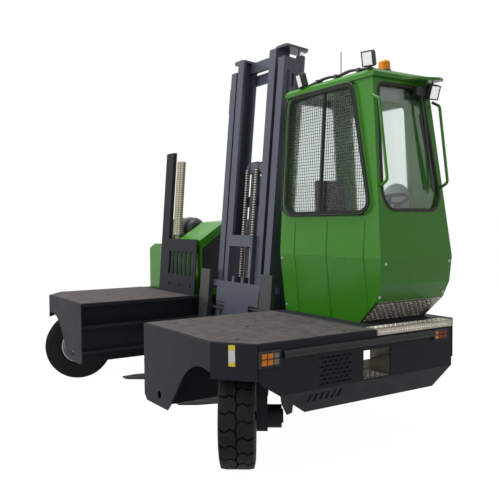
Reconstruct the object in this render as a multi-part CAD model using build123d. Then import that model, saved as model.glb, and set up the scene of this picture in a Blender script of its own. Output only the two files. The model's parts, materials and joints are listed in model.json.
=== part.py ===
from build123d import *
import math
import os

# Multidirectional forklift. Millimetres, +Z up, +X towards the cab, forks towards -Y.
# The origin lies on the ground under the middle of the whole machine.

# Platforms
LENGTH = 4220.0
FRONT_Y = -1100.0
REAR_Y = 1150.0
REAR_CHAMFER = 100.0
BAY_WIDTH = 1525.0
HALF_LENGTH = LENGTH / 2
BAY_HALF = BAY_WIDTH / 2
DECK_TOP = 947.0
DECK_PLATE = 8.0
SKIN = 10.0
CHAMFER_X = 270.0
CHAMFER_Y = 205.0
CHAMFER_BOTTOM = 700.0
DECK_SHEET = 3.0
DECK_SHEET_EDGE = 12.0
DECK_SHEET_REAR_Y = 165.0
END_PLATE_BOTTOM = 328.0
END_PLATE_CORNER = 45.0
ARCH_RADIUS = 390.0
ARCH_TANGENT = 51.3
TIE_HOLE_X = 1040.0
TIE_HOLE_Z = 418.0
TIE_HOLE_RADIUS = 32.0
FIT = 0.3

# Side panels
FOLD_Z = 582.0
FOLD_FRONT_Y = -715.0
SIDE_LOW_Z = 395.0
SIDE_LOW_FRONT_Y = -411.0
SIDE_LOW_REAR_Y = 922.0
SIDE_LOW_INSET = 120.0
SIDE_REAR_Y = 1014.0
STEP_Y0 = 47.0
STEP_Y1 = 324.0
STEP_Z1 = 805.0
STEP_DEPTH = 230.0
STEP_TREAD = 8.0
GRILLE_Y0 = -378.0
GRILLE_Y1 = -64.0
GRILLE_Z0 = 606.0
GRILLE_Z1 = 820.0
GRILLE_ROWS = 7
GRILLE_COLUMNS = 6
SLOT_BACKING = 4.0
LOUVRE_Y0 = -440.0
LOUVRE_Y1 = -110.0
LOUVRE_Z0 = 484.0
LOUVRE_Z1 = 548.0
LOUVRES = 6
RUB_BAR_RADIUS = 28.0
RUB_BAR_Z = 864.0
RUB_BAR_Y0 = -697.0
RUB_BAR_Y1 = 780.0
RUB_BAR_GAP = 12.0
LAMP_DEPTH = 22.0
FRONT_LAMP = (-890.0, -712.0, 787.0, 902.0)
REAR_LAMP = (786.0, 953.0, 800.0, 893.0)
LEDGE_Y0 = 180.0
LEDGE_WIDTH = 120.0
LEDGE_PLATE = 4.0
LEDGE_DROP = 44.0
STEP_RISER = 80.0

# Frame
RAIL_DEPTH = 86.0
RAIL_BOTTOM = 430.0
RAIL_TOP = 715.0
RAIL_PLATE = 25.0
RECESS_DEPTH = 108.0
BEAM_WIDTH = 190.0
BEAM_WALL = 12.0
BEAM_REAR_Y = 985.0
REAR_BEAM_HALF = 1970.0
HEAD_BOTTOM = 855.0
HEAD_REAR_Y = -540.0
REAR_BEAM_LOW = 620.0
REAR_BOX_Y = 610.0
REAR_BOX_BOTTOM = 740.0
KINGPIN_RADIUS = 45.0
BEARING = 0.05

# Front wheels
WHEEL_X = 1717.0
WHEEL_Y = -801.0
TYRE_RADIUS = 367.5
TYRE_WIDTH = 250.0
RIM_RADIUS = 190.0
CAB_SIDE_STEER = 55.2
ENGINE_SIDE_STEER = -21.5

# Rear wheel
REAR_WHEEL_Y = 820.0
REAR_TYRE_RADIUS = 298.0
REAR_TYRE_WIDTH = 225.0
REAR_RIM_RADIUS = 140.0

# Reach carriage
REACH_SIDE_X = 560.0
REACH_SIDE_PLATE = 26.0
REACH_FRONT_Y = 280.0
REACH_FRONT_AXLE_Y = 320.0
REACH_REAR_AXLE_Y = 740.0
REACH_REAR_Y = 850.0
ROLLER_RADIUS = 113.0
PIVOT_Y = 540.0
PIVOT_Z = 670.0
PIVOT_RADIUS = 38.0
REACH_STROKE = 900.0
REACH_BARREL_RADIUS = 34.0
REACH_ROD_RADIUS = 22.0
REACH_CYLINDER_Z = 775.0
REACH_ARM_Z0 = 840.0
REACH_ARM_Z1 = 890.0
REACH_BARREL_REAR_Y = 960.0
REACH_EYE_Y = REACH_BARREL_REAR_Y - REACH_STROKE - 80.0
RAIL_GAP = 2.0
MAST_HALF = 485.0
TILT_SIDE = 38.0
TILT_X = MAST_HALF + TILT_SIDE
TILT_BARREL_RADIUS = 30.0
REAR_BOX_GAP = 23.0
REAR_BOX_HALF = TILT_X - TILT_BARREL_RADIUS - REAR_BOX_GAP
TILT_ROD_RADIUS = 18.0
TILT_EYE_HALF = 20.0
TILT_PIN_RADIUS = 11.0
TILT_EYE_Y = REACH_REAR_Y - 45.0
TILT_EYE_Z = 812.0
TILT_LUG_Y = -10.0
TILT_LUG_Z = 345.0
TILT_DRIFT = 0.5

# Mast, drawn upright about its tilt pivot and then leant back
LEAN = 5.2
MAST_FRONT = -251.0
MAST_DEPTH = 170.0
OUTER_FLANGE = 100.0
FLANGE_PLATE = 26.0
WEB_PLATE = 22.0
INNER_INSET = 140.0
INNER_OUT = MAST_HALF - INNER_INSET
INNER_FLANGE = 110.0
INNER_STEP = 8.0
OUTER_FOOT = -500.0
OUTER_TOP = 2690.0
INNER_FOOT = -490.0
INNER_TOP = 2790.0
LIFT_CYLINDER_INSET = 60.0
LIFT_CYLINDER_X = MAST_HALF - LIFT_CYLINDER_INSET
LIFT_BARREL_RADIUS = 46.0
LIFT_ROD_RADIUS = 30.0
CROSS_MEMBER = 22.0
LOW_CROSS_MEMBER = 12.0
LIFT_CYLINDER_BACK = CROSS_MEMBER + LIFT_BARREL_RADIUS + FIT
LIFT_BARREL_FOOT = 130.0
LIFT_BARREL_TOP = 2740.0
FREE_CYLINDER_Y = MAST_FRONT + 100.0
FREE_BARREL_RADIUS = 50.0
FREE_ROD_RADIUS = 32.0
FREE_BARREL_TOP = 1560.0
FREE_HEAD_TOP = 1700.0
SHEAVE_RADIUS = 62.0
SHEAVE_WIDTH = 34.0
CHAIN_X = 85.0
CHAIN_WIDTH = 26.0
CHAIN_THICK = 14.0

# Fork carriage and forks, in the mast's own upright frame
CARRIAGE_HALF = 400.0
FORK_PLATE_BOTTOM = 230.0
FORK_PLATE_TOP = 450.0
FORK_PLATE_THICK = 30.0
CARRIAGE_GAP = 14.0
PLATE_FRONT = MAST_FRONT - INNER_STEP - CARRIAGE_GAP - FORK_PLATE_THICK
CROSS_BAR_BOTTOM = 820.0
CROSS_BAR_TOP = 935.0
FORK_X = 580.0
FORK_WIDTH = 190.0
FORK_THICK = 50.0
FORK_TOP = 560.0
FORK_HEEL = -600.0
FORK_BLADE = 860.0
FORK_TIP_THICK = 12.0
FORK_BAR_HALF = 700.0
FORK_BAR = 60.0
FORK_LOWER_BAR = -110.0
POSITIONER_Z = 205.0
POSITIONER_END = 400.0
POSITIONER_Y = PLATE_FRONT + 22.0
POSITIONER_TUBE_END = 227.0
POSITIONER_TUBE_RADIUS = 16.0
POSITIONER_ROD_RADIUS = 12.0
POSITIONER_ROD_END = -50.0
POSITIONER_PITCH = 46.0

# Cab
CAB_INNER_GAP = 1.5
CAB_INNER_X = BAY_HALF + CAB_INNER_GAP
CAB_WALL = 40.0
CAB_TOP = 2890.0
ROOF_TOP = 2952.0
ROOF_CHAMFER = 28.0
VISOR_BOTTOM = 2894.0
VISOR_PLATE = 22.0
CAB_XZ = [
    (HALF_LENGTH - 350, DECK_TOP), (HALF_LENGTH - 150, 1125.0), (HALF_LENGTH - 80, 1260.0),
    (HALF_LENGTH - 50, 1470.0), (HALF_LENGTH - 225, CAB_TOP),
]
CAB_FRONT_YZ = [(330.0, DECK_TOP), (268.0, 1470.0), (350.0, CAB_TOP)]
CAB_REAR_YZ = [(1086.0, DECK_TOP), (1075.0, 1470.0), (975.0, CAB_TOP)]
SILL_Z = 1845.0
WINDOW_HEAD_Z = 2860.0
WINDOW_CORNER = 45.0
FORK_WINDOW = [
    (CAB_INNER_X + 66, WINDOW_HEAD_Z), (HALF_LENGTH - 460, WINDOW_HEAD_Z), (HALF_LENGTH - 205, 1890.0),
    (HALF_LENGTH - 270, 1830.0), (CAB_INNER_X + 136, 1830.0), (CAB_INNER_X + 56, 1900.0),
]
OUTER_WINDOW = [(400.0, WINDOW_HEAD_Z - 15), (890.0, WINDOW_HEAD_Z - 15), (990.0, 1960.0), (930.0, SILL_Z),
                (410.0, SILL_Z), (345.0, 1960.0)]
INNER_WINDOW = [(430.0, WINDOW_HEAD_Z - 15), (900.0, WINDOW_HEAD_Z - 15), (960.0, SILL_Z), (400.0, SILL_Z)]
GLASS = 6.0
CAB_FLOOR = 12.0
DOOR_X0 = CAB_INNER_X + 136
DOOR_X1 = HALF_LENGTH - 410
DOOR_RAIL = 60.0
DOOR_WINDOW = [
    (DOOR_X0 + DOOR_RAIL, 2740.0), (DOOR_X1 - DOOR_RAIL, 2740.0),
    (DOOR_X1 - DOOR_RAIL, 1500.0), (DOOR_X0 + DOOR_RAIL, 1500.0),
]
DOOR_Z0 = 990.0
DOOR_Z1 = 2840.0
DOOR_GAP = 6.0
HINGE_RADIUS = 12.0
HINGE_PIN = 7.0
DOOR_HINGE_Y = 1104.0
DOOR_HINGE_ZS = (1120.0, 1440.0, 2300.0)

RAIL_TUBE_RADIUS = 12.0
BEACON_BASE = 42.0
BEACON_TOP = 122.0

# Engine side
BAY_INNER_X = -785.0
HOOD_OUTER_X = -1300.0
BAY_TOP = 1500.0
BAY_EDGE_DROP = 58.0
BAY_EDGE_RUN = 150.0
BAY_FRONT_Y = 282.0
BAY_REAR_Y = 1000.0
BAY_WALL = 8.0
HOOD_FRONT_Z = 1560.0
HOOD_CREST_Y = 600.0
HOOD_CREST_Z = 1765.0
HOOD_REAR_Z = 1800.0
HOOD_LIP = 60.0
HOOD_HINGE_Y = BAY_REAR_Y + 12.0
HOOD_HINGE_Z = HOOD_REAR_Z - HOOD_LIP - 2.0
HOOD_HINGE_XS = (-1180.0, -900.0)
HOOD_PIN_RADIUS = 4.0
POST_X0 = -1660.0
POST_X1 = -1475.0
POST_TOP = 2600.0
POST_DEPTH = 45.0
POST_LEAN = 4.5
POST_FOOT_Y = 190.0
GUARD_X1 = -775.0
GUARD_TOP = 1572.0
GUARD_PLATE = 12.0
GUARD_SLOTS = 6
BOTTLE_RADIUS = 150.0
BOTTLE_LENGTH = 600.0
BOTTLE_Y = 590.0
STACK_X = -1440.0
STACK_FOOT = 1610.0
STACK_TOP = 2490.0
STACK_PIPE_RADIUS = 38.0
STACK_STUB_RISE = 3.4
STACK_SHIELD_RADIUS = 64.0

DECK_BOTTOM = DECK_TOP - DECK_PLATE


def block(x0, x1, y0, y1, z0, z1):
    """A box between two opposite corners."""
    return Pos((x0 + x1) / 2, (y0 + y1) / 2, (z0 + z1) / 2) * Box(x1 - x0, y1 - y0, z1 - z0)


def prism_x(points, x0, x1):
    """A prism along X whose outline is given as (y, z) points."""
    plane = Plane(origin=(x0, 0, 0), x_dir=(0, 1, 0), z_dir=(1, 0, 0))
    return extrude(plane * Polygon(*points), amount=x1 - x0, dir=(1, 0, 0))


def prism_y(points, y0, y1):
    """A prism along Y whose outline is given as (x, z) points."""
    plane = Plane(origin=(0, y0, 0), x_dir=(1, 0, 0), z_dir=(0, -1, 0))
    return extrude(plane * Polygon(*points), amount=y1 - y0, dir=(0, 1, 0))


def prism_z(points, z0, z1):
    """A prism along Z whose outline is given as (x, y) points."""
    return extrude(Pos(0, 0, z0) * Polygon(*points), amount=z1 - z0, dir=(0, 0, 1))


def window_x(points, x0, x1):
    """A window's cutter along X, its corners rounded."""
    cutter = prism_x(points, x0, x1)
    return fillet(cutter.edges().filter_by(Axis.X), WINDOW_CORNER)


def window_y(points, y0, y1):
    """A window's cutter along Y, its corners rounded."""
    cutter = prism_y(points, y0, y1)
    return fillet(cutter.edges().filter_by(Axis.Y), WINDOW_CORNER)


def rod_x(x0, x1, y, z, radius):
    """A round bar along X."""
    return Pos((x0 + x1) / 2, y, z) * Rot(0, 90, 0) * Cylinder(radius, x1 - x0)


def rod_y(y0, y1, x, z, radius):
    """A round bar along Y."""
    return Pos(x, (y0 + y1) / 2, z) * Rot(90, 0, 0) * Cylinder(radius, y1 - y0)


def rod_z(z0, z1, x, y, radius):
    """A round bar along Z."""
    return Pos(x, y, (z0 + z1) / 2) * Cylinder(radius, z1 - z0)


def rod_between(start, end, radius):
    """A round bar between two points."""
    line = Vector(*end) - Vector(*start)
    plane = Plane(origin=start, z_dir=line)
    return plane * Pos(0, 0, line.length / 2) * Cylinder(radius, line.length)


def other_side(shape):
    """The mirror image of a piece on the machine's other side."""
    return mirror(shape, about=Plane.YZ)


def both_sides(shape):
    """A piece and its mirror image, as one node."""
    return shape + other_side(shape)


def leaning(shape):
    """Places what is drawn in the mast's upright frame."""
    return Pos(0, PIVOT_Y, PIVOT_Z) * Rot(-LEAN, 0, 0) * shape


# Platforms and frame

def deck_outline(inset=0.0):
    """The platform's plan on the cab side, with its chamfered outer corner."""
    inner = BAY_HALF + inset
    outer = HALF_LENGTH - inset
    front = FRONT_Y + inset
    return [
        (inner, front),
        (HALF_LENGTH - CHAMFER_X - inset / 2, front),
        (outer, FRONT_Y + CHAMFER_Y + inset / 2),
        (outer, SIDE_REAR_Y),
        (outer - REAR_CHAMFER, REAR_Y - SKIN),
        (inner, REAR_Y - SKIN),
    ]


def platform():
    """Deck plate with its anti-slip sheet and the lip along the bay, on the cab side."""
    deck = prism_z(deck_outline(), DECK_BOTTOM, DECK_TOP)
    sheet_edge = deck_outline(DECK_SHEET_EDGE)
    sheet = prism_z(sheet_edge, DECK_TOP, DECK_TOP + DECK_SHEET)
    sheet &= block(0, HALF_LENGTH, FRONT_Y, DECK_SHEET_REAR_Y, DECK_TOP, DECK_TOP + DECK_SHEET)
    lip = block(BAY_HALF, BAY_HALF + 6, FRONT_Y + SKIN, REAR_BOX_Y, DECK_BOTTOM - 22, DECK_BOTTOM)
    return deck + sheet + lip


def end_plate():
    """End plate of the arm, cut round the wheel, with its chamfer plate, on the cab side."""
    chamfer_x = HALF_LENGTH - CHAMFER_X
    tangent = math.radians(ARCH_TANGENT)
    touch_x = WHEEL_X - ARCH_RADIUS * math.sin(tangent)
    touch_z = TYRE_RADIUS + ARCH_RADIUS * math.cos(tangent)
    knee_z = END_PLATE_BOTTOM + END_PLATE_CORNER
    knee_x = touch_x - (touch_z - knee_z) / math.tan(tangent)
    outline = [
        (BAY_HALF, DECK_BOTTOM), (BAY_HALF, knee_z), (BAY_HALF + END_PLATE_CORNER, END_PLATE_BOTTOM),
        (knee_x - END_PLATE_CORNER, END_PLATE_BOTTOM), (knee_x, knee_z), (touch_x, touch_z), (WHEEL_X, touch_z),
        (chamfer_x, TYRE_RADIUS + ARCH_RADIUS), (chamfer_x, DECK_BOTTOM),
    ]
    plate = prism_y(outline, FRONT_Y, FRONT_Y + SKIN)
    plate -= rod_y(FRONT_Y - SKIN, FRONT_Y + 2 * SKIN, WHEEL_X, TYRE_RADIUS, ARCH_RADIUS)
    plate -= rod_y(FRONT_Y - SKIN, FRONT_Y + 2 * SKIN, TIE_HOLE_X, TIE_HOLE_Z, TIE_HOLE_RADIUS)
    run = math.hypot(CHAMFER_X, CHAMFER_Y)
    inward_x = -CHAMFER_Y / run * SKIN
    inward_y = CHAMFER_X / run * SKIN
    chamfer_plan = [
        (chamfer_x, FRONT_Y),
        (HALF_LENGTH, FRONT_Y + CHAMFER_Y),
        (HALF_LENGTH + inward_x, FRONT_Y + CHAMFER_Y + inward_y),
        (chamfer_x + inward_x, FRONT_Y + inward_y),
    ]
    return plate + prism_z(chamfer_plan, CHAMFER_BOTTOM, DECK_BOTTOM)


def arm_frame():
    """Reach rail, box beam and steering head on the cab side."""
    rail_in = BAY_HALF + RAIL_GAP
    rail_out = rail_in + RAIL_DEPTH
    front = FRONT_Y + SKIN
    rail_outline = [
        (rail_in, RAIL_BOTTOM),
        (rail_out, RAIL_BOTTOM),
        (rail_out, RAIL_TOP),
        (rail_in, RAIL_TOP),
        (rail_in, RAIL_TOP - RAIL_PLATE),
        (rail_out - RAIL_PLATE, RAIL_TOP - RAIL_PLATE),
        (rail_out - RAIL_PLATE, RAIL_BOTTOM + RAIL_PLATE),
        (rail_in, RAIL_BOTTOM + RAIL_PLATE),
    ]
    rail = prism_y(rail_outline, front, BEAM_REAR_Y)
    beam_in = BAY_HALF + RECESS_DEPTH
    beam_out = beam_in + BEAM_WIDTH
    beam = block(rail_out, beam_out, front, BEAM_REAR_Y, END_PLATE_BOTTOM + 5, RAIL_TOP)
    beam += block(beam_in, beam_out, front, BEAM_REAR_Y, RAIL_TOP, DECK_BOTTOM)
    hollow = block(
        beam_in + BEAM_WALL, beam_out - BEAM_WALL, front - SKIN, BEAM_REAR_Y + SKIN,
        END_PLATE_BOTTOM + 5 + BEAM_WALL, DECK_BOTTOM - BEAM_WALL,
    )
    beam -= hollow
    head_outline = [
        (beam_out, front),
        (HALF_LENGTH - CHAMFER_X - SKIN, front),
        (HALF_LENGTH - 2 * SKIN, FRONT_Y + CHAMFER_Y + SKIN),
        (HALF_LENGTH - 2 * SKIN, HEAD_REAR_Y),
        (beam_out, HEAD_REAR_Y),
    ]
    head = prism_z(head_outline, HEAD_BOTTOM, DECK_BOTTOM)
    head -= rod_z(HEAD_BOTTOM - 1, DECK_BOTTOM + 1, WHEEL_X, WHEEL_Y, KINGPIN_RADIUS + BEARING)
    return rail + beam + head


def chassis_frame():
    """Both arms joined by the rear beam and the box over the rear wheel."""
    rear_in = REAR_Y - SKIN
    rear_outline = [
        (-REAR_BEAM_HALF, DECK_BOTTOM),
        (-REAR_BEAM_HALF, REAR_BEAM_LOW),
        (-REAR_BOX_HALF, REAR_BEAM_LOW),
        (-REAR_BOX_HALF, REAR_BOX_BOTTOM),
        (REAR_BOX_HALF, REAR_BOX_BOTTOM),
        (REAR_BOX_HALF, REAR_BEAM_LOW),
        (REAR_BEAM_HALF, REAR_BEAM_LOW),
        (REAR_BEAM_HALF, DECK_BOTTOM),
    ]
    rear_beam = prism_y(rear_outline, BEAM_REAR_Y, rear_in)
    rear_box = block(-REAR_BOX_HALF, REAR_BOX_HALF, REAR_BOX_Y, BEAM_REAR_Y, REAR_BOX_BOTTOM, DECK_BOTTOM)
    rear_box -= block(
        -REAR_BOX_HALF + 150, REAR_BOX_HALF - 150, REAR_BOX_Y - 1, REAR_BOX_Y + 20,
        REAR_BOX_BOTTOM + 40, DECK_BOTTOM - 40,
    )
    frame = both_sides(arm_frame()) + rear_beam + rear_box
    frame -= rod_z(REAR_BOX_BOTTOM - 1, DECK_BOTTOM - 20, 0, REAR_WHEEL_Y, KINGPIN_RADIUS + BEARING)
    return frame


def side_panel():
    """Folded side panel with its grille, louvres and step opening, on the cab side."""
    inside = HALF_LENGTH - SKIN
    upper_outline = [
        (FRONT_Y + CHAMFER_Y + SKIN, DECK_BOTTOM),
        (FRONT_Y + CHAMFER_Y + SKIN, CHAMFER_BOTTOM),
        (FOLD_FRONT_Y - 136, FOLD_Z + 83),
        (FOLD_FRONT_Y, FOLD_Z),
        (SIDE_REAR_Y, FOLD_Z),
        (SIDE_REAR_Y, DECK_BOTTOM),
    ]
    upper = prism_x(upper_outline, inside, HALF_LENGTH)
    low_x = HALF_LENGTH - SIDE_LOW_INSET
    corners = [
        (HALF_LENGTH, FOLD_FRONT_Y, FOLD_Z),
        (HALF_LENGTH, SIDE_REAR_Y, FOLD_Z),
        (low_x, SIDE_LOW_REAR_Y, SIDE_LOW_Z),
        (low_x, SIDE_LOW_FRONT_Y, SIDE_LOW_Z),
    ]
    face = Face(Wire.make_polygon([Vector(*corner) for corner in corners]))
    lower = extrude(face, amount=SKIN, dir=(-1, 0, 0))
    panel = upper + lower
    panel -= block(inside - 1, HALF_LENGTH + 1, STEP_Y0, STEP_Y1, FOLD_Z + STEP_TREAD, STEP_Z1)
    row_pitch = (GRILLE_Z1 - GRILLE_Z0) / GRILLE_ROWS
    slot_pitch = (GRILLE_Y1 - GRILLE_Y0) / GRILLE_COLUMNS
    for row in range(GRILLE_ROWS):
        z = GRILLE_Z0 + row * row_pitch
        shift = slot_pitch / 2 * (row % 2)
        for column in range(GRILLE_COLUMNS - row % 2):
            y = GRILLE_Y0 + shift + column * slot_pitch
            panel -= block(
                inside - 1, HALF_LENGTH + 1, y, y + slot_pitch * 0.8, z, z + row_pitch * 0.55
            )
    louvre_pitch = (LOUVRE_Y1 - LOUVRE_Y0) / LOUVRES
    for index in range(LOUVRES):
        y = LOUVRE_Y0 + index * louvre_pitch
        panel -= block(low_x - SKIN, HALF_LENGTH + 1, y, y + louvre_pitch * 0.4, LOUVRE_Z0, LOUVRE_Z1)
    panel += block(inside - SLOT_BACKING, inside, GRILLE_Y0 - SKIN, GRILLE_Y1 + SKIN, GRILLE_Z0 - SKIN, GRILLE_Z1 + SKIN)
    backing = extrude(Pos(-SKIN, 0, 0) * face, amount=SLOT_BACKING, dir=(-1, 0, 0))
    backing &= block(0, HALF_LENGTH, LOUVRE_Y0 - SKIN, LOUVRE_Y1 + SKIN, LOUVRE_Z0 - SKIN, LOUVRE_Z1 + SKIN)
    return panel + backing


def rub_bar():
    """Round rub bar on two stand-offs along the cab side."""
    x = HALF_LENGTH + RUB_BAR_GAP
    bar = rod_y(RUB_BAR_Y0, RUB_BAR_Y1, x, RUB_BAR_Z, RUB_BAR_RADIUS)
    bar -= block(0, HALF_LENGTH, RUB_BAR_Y0 - 1, RUB_BAR_Y1 + 1, 0, DECK_TOP)
    return bar


def side_lamp(place):
    """One lamp cluster of the cab side."""
    y0, y1, z0, z1 = place
    lamp = block(HALF_LENGTH, HALF_LENGTH + LAMP_DEPTH, y0, y1, z0, z1)
    return fillet(lamp.edges().filter_by(Axis.X), 8)


def step_box():
    """Open step behind the side panel, on the cab side."""
    inside = HALF_LENGTH - SKIN
    inner = inside - STEP_DEPTH
    top = FOLD_Z + STEP_TREAD
    y0, y1 = STEP_Y0 - 20, STEP_Y1 + 20
    box = block(inner, inside, y0, y1, FOLD_Z, top)
    box += block(inner, inner + 6, y0, y1, top, top + STEP_RISER)
    box += block(inner, inside, y0, y0 + 6, top, DECK_BOTTOM)
    box += block(inner, inside, y1 - 6, y1, top, DECK_BOTTOM)
    return box


def side_steps():
    """Steps in both side panels and the tread along the deck's edge beside the cab."""
    ledge = block(
        HALF_LENGTH - LEDGE_WIDTH, HALF_LENGTH, LEDGE_Y0, SIDE_REAR_Y, DECK_TOP, DECK_TOP + LEDGE_PLATE
    )
    ledge += block(
        HALF_LENGTH, HALF_LENGTH + LEDGE_PLATE, LEDGE_Y0, SIDE_REAR_Y, DECK_TOP - LEDGE_DROP, DECK_TOP + LEDGE_PLATE
    )
    return both_sides(step_box()) + ledge


def rear_panel():
    """Rear skirt over the rear wheel and the plate that closes the bay's back."""
    wide = HALF_LENGTH - REAR_CHAMFER
    arch = REAR_BOX_HALF
    skirt = block(-wide, wide, REAR_Y - SKIN, REAR_Y, REAR_BEAM_LOW, DECK_TOP)
    plate = block(-arch, arch, REAR_BOX_Y, REAR_Y - SKIN, DECK_BOTTOM, DECK_TOP)
    infill = block(-BAY_HALF, BAY_HALF, BEAM_REAR_Y, REAR_Y - SKIN, DECK_BOTTOM, DECK_TOP)
    return skirt + plate + infill


# Wheels and steering

def tyre(radius, width, rim_radius):
    """Solid tyre about the X axis at the origin."""
    half = width / 2
    crown = radius - 14
    outline = [
        (-half + 20, rim_radius - 2 + FIT),
        (half - 20, rim_radius - 2 + FIT),
        (half, rim_radius + 45),
        (half, radius - 60),
        (half - 22, crown),
        (half * 0.45, radius),
        (-half * 0.45, radius),
        (-half + 22, crown),
        (-half, radius - 60),
        (-half, rim_radius + 45),
    ]
    return revolve(Plane.XY * Polygon(*outline), Axis.X)


def rim(rim_radius, width, leg_side):
    """Disc wheel about the X axis, its bolted hub open to the side away from the leg."""
    half = width / 2 - 22
    seat = rim_radius - 2
    inside = seat - 14
    disc = 30.0 * leg_side
    barrel_outline = [
        (-half, inside), (half, inside), (half, seat), (-half, seat),
    ]
    barrel = revolve(Plane.XY * Polygon(*barrel_outline), Axis.X)
    disc_outline = [
        (disc - 8, 30 + BEARING), (disc + 8, 30 + BEARING), (disc + 8, inside + 1), (disc - 8, inside + 1),
    ]
    plate = revolve(Plane.XY * Polygon(*disc_outline), Axis.X)
    hub_outline = [
        (disc - 34, 30 + BEARING), (disc + 34, 30 + BEARING), (disc + 34, 58), (disc - 34, 58),
    ]
    hub = revolve(Plane.XY * Polygon(*hub_outline), Axis.X)
    wheel = barrel + plate + hub
    for turn in range(8):
        angle = math.radians(45.0 * turn)
        ring = inside * 0.62
        wheel -= rod_x(disc - 20, disc + 20, ring * math.cos(angle), ring * math.sin(angle), 11)
    return wheel


def steering_leg(leg_side, radius, width, ring_top, pin_top):
    """One-sided leg with its turntable, kingpin, axle stub and hub motor, at the wheel's centre."""
    near = width / 2 + 8
    far = near + 78
    low = -96.0
    over = radius + 26
    plate_top = over + 38
    leg_outline = [
        (-112, plate_top), (-112, 60), (-84, -40), (-50, low), (50, low), (84, -40), (112, 60), (112, plate_top),
    ]
    x0, x1 = sorted((near * leg_side, far * leg_side))
    leg = prism_x(leg_outline, x0, x1)
    bridge = block(min(-130, x0), max(130, x1), -112, 112, over, plate_top)
    ring = rod_z(plate_top, ring_top, 0, 0, 150)
    pin = rod_z(ring_top, pin_top, 0, 0, KINGPIN_RADIUS)
    a0, a1 = sorted(((30 * leg_side) - 40 * leg_side, near * leg_side))
    axle = rod_x(a0, a1, 0, 0, 30)
    m0, m1 = sorted((far * leg_side, (far + 100) * leg_side))
    motor = rod_x(m0, m1, 0, 0, 82)
    cap_0, cap_1 = sorted(((far + 100) * leg_side, (far + 112) * leg_side))
    motor += rod_x(cap_0, cap_1, 0, 0, 50)
    return leg + bridge + ring + pin + axle + motor


def placed_wheel(shape, x, y, radius, turn):
    """Moves a piece from the wheel's centre to its place, steered by turn degrees."""
    return Pos(x, y, radius) * Rot(0, 0, turn) * shape


# Reach carriage

def reach_carriage():
    """Side plates on rollers in the rails, joined by the mast's pivot tube."""
    x0 = REACH_SIDE_X
    x1 = x0 + REACH_SIDE_PLATE
    roller_z = RAIL_BOTTOM + RAIL_PLATE + ROLLER_RADIUS + FIT
    outline = [
        (REACH_FRONT_Y, 470), (REACH_REAR_Y - 40, 470), (REACH_REAR_Y, 510), (REACH_REAR_Y, 860),
        (REACH_REAR_Y - 90, 860), (REACH_REAR_Y - 150, 735), (REACH_FRONT_Y + 80, 735), (REACH_FRONT_Y, 690),
    ]
    side = prism_x(outline, x0, x1)
    rail_in = BAY_HALF + RAIL_GAP
    for y in (REACH_FRONT_AXLE_Y, REACH_REAR_AXLE_Y):
        side += rod_x(x1 - 1, rail_in + 10, y, roller_z, 30)
        side += rod_x(rail_in + 4, rail_in + RAIL_DEPTH - RAIL_PLATE - 6, y, roller_z, ROLLER_RADIUS)
    side += rod_x(TILT_X - TILT_EYE_HALF, x0 + 1, TILT_EYE_Y, TILT_EYE_Z, TILT_PIN_RADIUS)
    frame = both_sides(side)
    frame += rod_x(-x0 - 1, x0 + 1, PIVOT_Y, PIVOT_Z, PIVOT_RADIUS)
    arm_x = BAY_HALF + RECESS_DEPTH / 2
    y0, y1 = REACH_FRONT_Y + 10, REACH_FRONT_Y + 60
    frame += block(x0, x1, y0, y1 + 40, 650, REACH_ARM_Z1)
    frame += block(x1 - 1, arm_x + 20, y0, y1, REACH_ARM_Z0, REACH_ARM_Z1)
    frame += block(arm_x - 20, arm_x + 20, REACH_EYE_Y - 40, y1, REACH_ARM_Z0, REACH_ARM_Z1)
    frame += block(
        arm_x - 20, arm_x + 20, REACH_EYE_Y - 40, REACH_EYE_Y, REACH_CYLINDER_Z - 30, REACH_ARM_Z1
    )
    return frame


def reach_barrel():
    """Barrel of the reach cylinder, along the recess over the cab-side rail."""
    x = BAY_HALF + RECESS_DEPTH / 2
    y0 = REACH_EYE_Y + 20
    barrel = rod_y(y0, REACH_BARREL_REAR_Y, x, REACH_CYLINDER_Z, REACH_BARREL_RADIUS)
    bore = rod_y(y0 - 1, REACH_BARREL_REAR_Y - 20, x, REACH_CYLINDER_Z, REACH_ROD_RADIUS + BEARING)
    foot = block(
        x - 20, x + RECESS_DEPTH / 2, REACH_BARREL_REAR_Y - 60, REACH_BARREL_REAR_Y,
        REACH_CYLINDER_Z - 30, REACH_CYLINDER_Z + 30,
    )
    return barrel + foot - bore


def reach_rod():
    """Chromed rod of the reach cylinder with its eye in the carriage's arm."""
    x = BAY_HALF + RECESS_DEPTH / 2
    return rod_y(REACH_EYE_Y, REACH_BARREL_REAR_Y - 40, x, REACH_CYLINDER_Z, REACH_ROD_RADIUS)


# Mast

def upright(outer_x, flange, front, foot, top):
    """A channel upright open towards the middle, on the cab side."""
    back = front + MAST_DEPTH
    channel = block(outer_x - flange, outer_x, front, front + FLANGE_PLATE, foot, top)
    channel += block(outer_x - flange, outer_x, back - FLANGE_PLATE, back, foot, top)
    channel += block(outer_x - WEB_PLATE, outer_x, front, back, foot, top)
    return channel


def lifting_eye():
    """Slotted eye plate on the outer upright."""
    x0 = MAST_HALF
    back = MAST_FRONT + MAST_DEPTH
    plate = block(x0, x0 + 22, back - 110, back - 30, 2280, 2560)
    slot = block(x0 - 1, x0 + 23, back - 84, back - 56, 2400, 2530)
    return plate - slot


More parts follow.
